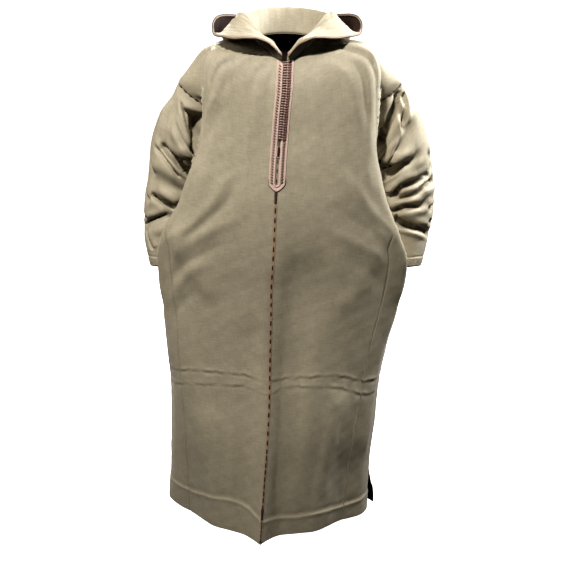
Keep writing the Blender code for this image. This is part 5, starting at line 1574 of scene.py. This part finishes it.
def make_seam_dashes(dark, ground):
    """Dashes of dark thread down the centre seam, their ground, and the bars at both ends."""
    share = np.linspace(0.0, 1.0, 9)
    starts = np.arange(SEAM_DASH_TOP, SEAM_DASH_FOOT, SEAM_DASH_PITCH)
    long = SEAM_DASH_LONG * (1.0 + 0.10 * np.sin(starts * 60.0))
    dashes = list(UPPER_DASHES) + [(s, n, SEAM_DASH_HALF, 0.0) for s, n in zip(starts, long)]
    for top, foot, pitch, length, half in LOWER_DASHES:
        dashes += [(s, length, half, 0.0) for s in np.arange(top, foot, pitch)]
    things = []
    for start, length, half, middle in dashes:
        level = start + length * share
        points, normal = front_point(np.full(9, middle), level, np.full(9, 0.0010))
        taper = 0.35 + 0.65 * np.sin(np.pi * share) ** 0.45
        things.append(strands("dash", points[None], normal[None], half, dark, 0.42, 8, taper))
    things.append(satin_bar(TIP_BAR_TOP, TIP_BAR_FOOT, 0.0036, dark))
    things.append(satin_bar(FOOT_BAR_TOP, FOOT_BAR_FOOT, 0.0030, dark))
    level = np.arange(TIP_BAR_FOOT, HEM_LEVEL - 0.004, 0.004)
    across = np.linspace(-SEAM_BRAID_HALF, SEAM_BRAID_HALF, 7)
    ac, lv = np.meshgrid(across, level)
    outer, normal = front_point(ac, lv, 0.0006 + 0.0004 * np.cos(ac / SEAM_BRAID_HALF * np.pi / 2))
    uv = np.stack([lv, ac], axis=-1)
    strip = cloth_shell("seam_braid", outer, normal, uv, [ground, ground], wall=SEAM_BRAID_WALL)
    return [joined("seam_dashes", things), strip]


def edge_line(outer, normal, column, away, lift):
    """A line on a panel, away metres in from its first (0) or last (-1) column."""
    if column == 0:
        rows, ups = outer, normal
    else:
        rows, ups = outer[:, ::-1], normal[:, ::-1]
    run = runs(rows)
    tops = unit(read_rows(run, ups, away))
    return read_rows(run, rows, away) + lift * tops, tops


def row_line(outer, normal, away, lift):
    """A line along a panel's last row, away metres above it."""
    return edge_line(np.swapaxes(outer, 0, 1), np.swapaxes(normal, 0, 1), -1, away, lift)


def machine_stitches(name, line, thread):
    """A row of machine stitches along a line, given as points and normals."""
    return running_stitches(name, *line, STITCH_STEP, STITCH_LONG, THREAD, thread)


def make_topstitching(pieces, thread):
    """Machine stitches: hems, hand slits, vents and cuffs."""
    things = []
    level = panel_levels()
    for name in ("front_left", "front_right", "back", "gore_left", "gore_right"):
        _, outer, normal = pieces[name]
        things.append(machine_stitches("hem", row_line(outer, normal, HEM_STITCH, THREAD_LIFT), thread))
    for name, column in (("gore_left", -1), ("gore_right", -1), ("back", 0), ("back", -1)):
        _, outer, normal = pieces[name]
        rows = level[-len(outer):]      # a gore has the lower rows only
        for low, high in SLIT_STITCHED:
            keep = (rows > low) & (rows < high)
            line = edge_line(outer[keep], normal[keep], column, SLIT_STITCH, THREAD_LIFT)
            things.append(machine_stitches("slit", line, thread))
    for name in ("sleeve_left", "sleeve_right"):
        _, outer, normal = pieces[name]
        wide = np.concatenate([outer, outer[:, :1]], axis=1)
        ups = np.concatenate([normal, normal[:, :1]], axis=1)
        things.append(machine_stitches("cuff", row_line(wide, ups, CUFF_STITCH, THREAD_LIFT), thread))
    return joined("topstitching", things)


def make_armhole_stitches(pieces, dark):
    """Long hand stitches round the armholes, on the body side of the seam."""
    level = panel_levels()
    keep = (level > ARMHOLE_TOP + 0.002) & (level < ARMHOLE_FOOT - 0.002)
    things = []
    for name, column in (("front_left", -1), ("front_right", -1), ("back", 0), ("back", -1)):
        _, outer, normal = pieces[name]
        points, ups = edge_line(outer[keep], normal[keep], column, HAND_AWAY, 0.0006)
        things.append(running_stitches("armhole", points, ups, HAND_STEP, HAND_LONG, HAND_THREAD, dark,
                                       HAND_RISE))
    return joined("armhole_stitches", things)


def make_hood_trim(hood_piece, band, line):
    """The hood's edge: a woven band on the side that shows when it lies back, between two cords."""
    _, outer, normal = hood_piece
    inner = outer - WALL * normal
    offsets = np.linspace(0.0004, TRIM_WIDTH, 7)
    run = runs(inner[:, ::-1])
    grid = read_rows(run, inner[:, ::-1], offsets)
    tops = unit(read_rows(run, normal[:, ::-1], offsets))
    crown = 0.0006 + 0.0009 * np.sqrt(np.sin(np.pi * np.linspace(0.08, 0.92, 7)))
    face = grid - crown[None, :, None] * tops
    uv = np.stack(np.broadcast_arrays(runs(face[:, 3], 0)[:, None], offsets[None, :]), axis=-1)
    tape = cloth_shell("hood_tape", face, -tops, uv, [band, band], wall=TRIM_WALL)
    edge = inner[:, -1] - 0.0004 * normal[:, -1] + 0.5 * WALL * normal[:, -1]
    rim = unit(outer[:, -1] - outer[:, -2])
    outside = twisted_cord("hood_edge_cord", [(edge + 0.0006 * rim, -normal[:, -1])], RIM_CORD, line)
    second = grid[:, -1] - 0.0010 * tops[:, -1]
    inside = twisted_cord("hood_inner_cord", [(second, -tops[:, -1])], INNER_CORD, line)
    return [tape, joined("hood_cords", [outside, inside])]


# ---- stage ----


def area_light(name, place, target, width, height, power, colour):
    """A soft box at place, aimed at target."""
    data = bpy.data.lights.new(name, "AREA")
    data.shape = "RECTANGLE"
    data.size, data.size_y = width, height
    data.energy = power
    data.color = colour
    lamp = bpy.data.objects.new(name, data)
    lamp.location = place
    lamp.rotation_euler = (Vector(target) - Vector(place)).to_track_quat("-Z", "Y").to_euler()
    bpy.context.scene.collection.objects.link(lamp)
    return lamp


def make_stage():
    """Floor, lights and camera."""
    scene = bpy.context.scene
    scene.view_settings.view_transform = "Standard"
    scene.view_settings.look = "High Contrast"
    low = CAD_BOX[0][2]
    mesh = bpy.data.meshes.new("floor")
    span = FLOOR_SPAN
    mesh.from_pydata([(-span, -span, low), (span, -span, low), (span, span, low), (-span, span, low)],
                     [], [(0, 1, 2, 3)])
    floor = bpy.data.objects.new("floor", mesh)
    scene.collection.objects.link(floor)
    pale = bpy.data.materials.new("pale_floor")
    pale.use_nodes = True
    shader = pale.node_tree.nodes["Principled BSDF"]
    shader.inputs["Base Color"].default_value = (0.93, 0.93, 0.93, 1.0)
    shader.inputs["Roughness"].default_value = 0.95
    shader.inputs["Specular IOR Level"].default_value = 0.0
    shader.inputs["Emission Color"].default_value = (1.0, 1.0, 1.0, 1.0)
    shader.inputs["Emission Strength"].default_value = FLOOR_GLOW
    mesh.materials.append(pale)
    floor.visible_diffuse = False
    floor.visible_glossy = False

    world = bpy.data.worlds.new("studio")
    world.use_nodes = True
    scene.world = world
    nodes, links = world.node_tree.nodes, world.node_tree.links
    seen = nodes.new("ShaderNodeBackground")
    seen.inputs["Color"].default_value = (1.0, 1.0, 1.0, 1.0)
    seen.inputs["Strength"].default_value = 1.0
    dim = nodes["Background"]
    dim.inputs["Color"].default_value = (1.0, 0.99, 0.97, 1.0)
    dim.inputs["Strength"].default_value = WORLD_LIGHT
    path = nodes.new("ShaderNodeLightPath")
    blend = nodes.new("ShaderNodeMixShader")
    links.new(path.outputs["Is Camera Ray"], blend.inputs[0])
    links.new(dim.outputs[0], blend.inputs[1])
    links.new(seen.outputs[0], blend.inputs[2])
    links.new(blend.outputs[0], nodes["World Output"].inputs["Surface"])

    for light in LIGHTS:
        area_light(*light)

    data = bpy.data.cameras.new("camera")
    data.sensor_width = 36.0
    data.lens = LENS
    camera = bpy.data.objects.new("camera", data)
    camera.location = CAMERA_PLACE
    camera.rotation_euler = (np.radians(90.0 - CAMERA_DOWN), 0.0, 0.0)
    scene.collection.objects.link(camera)
    scene.camera = camera


# ---- the robe ----

twill, heather = twill_group(), heather_group()
strand_effect = strand_group()
# the second colour of each wool finish is what it turns towards near the seams: partly wear, partly painted
# shade
wool = cloth_finish("wool_face", (154, 146, 127), (90, 78, 62), twill, heather, 0.58, 0.30, (235, 228, 220))
# the reverse finish is painted shade: dark brown for the inner side of every piece and the inside of the
# hood's bag
reverse_shade_wool = cloth_finish("wool_reverse_painted_shade", (54, 38, 32), (40, 28, 24), twill, heather, 0.75, 0.15,
                           (200, 170, 150))

cloth = [wool, reverse_shade_wool]
pieces = {
    **make_fronts(cloth),
    **make_gores(cloth),
    **make_back(cloth),
    "sleeve_left": make_sleeve("sleeve_left", -1.0, cloth),
    "sleeve_right": make_sleeve("sleeve_right", 1.0, cloth),
    "hood": make_hood(cloth),
}

make_stage()

# flat size (width, length) and cut area of each piece of cloth, square metres
CUTS = {
    "front_left": ((0.40, 1.34), 0.42),
    "front_right": ((0.40, 1.34), 0.45),
    "back": ((0.78, 1.34), 0.93),
    "gore_left": ((0.20, 1.00), 0.13),
    "gore_right": ((0.20, 1.00), 0.14),
    "sleeve_left": ((0.52, 0.56), 0.26),
    "sleeve_right": ((0.52, 0.56), 0.26),
    "hood": ((0.95, 0.42), 0.31),
}
for name in CUTS:
    thing = pieces[name][0]
    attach(thing, "root")
    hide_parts(name)

# the second colour of each thread is painted shade in the furrows between its plies
silk = thread_finish("silk_rose", (222, 200, 188), (176, 148, 136), 0.42, 0.45)
silk_ground = thread_finish("silk_ground", (200, 178, 164), (150, 124, 110), 0.55, 0.35)
seam_ground = thread_finish("silk_seam", (160, 142, 120), (128, 108, 88), 0.60, 0.30)
brown = thread_finish("thread_brown", (74, 50, 36), (38, 24, 18), 0.50, 0.30)
mauve = thread_finish("thread_mauve", (148, 118, 108), (92, 66, 60), 0.48, 0.35)
maroon = thread_finish("thread_maroon", (62, 16, 12), (26, 8, 8), 0.45, 0.35)
sewing = thread_finish("thread_sewing", (150, 132, 102), (120, 100, 74), 0.60, 0.25)

braid = [make_placket_tape([silk_ground, silk_ground]), make_placket_cords(silk),
         make_placket_stitches(brown)]
ladder = make_ladder(mauve, brown, mauve) + [make_left_gaps(silk)] + make_slot(maroon, silk)
hood_trims = make_hood_trim(pieces["hood"], seam_ground, brown)
seam_trims = make_seam_dashes(brown, seam_ground)
stitches = [make_topstitching(pieces, sewing), make_armhole_stitches(pieces, brown)]

# by the node that they replace; None is for stitching that no node stands for
trims = {"placket_braid": braid, "placket_ladder": ladder, "hood_braid": hood_trims,
         None: seam_trims + stitches}
for name, things in trims.items():
    for thing in things:
        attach(thing, "root")
        if name:
            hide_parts(name)
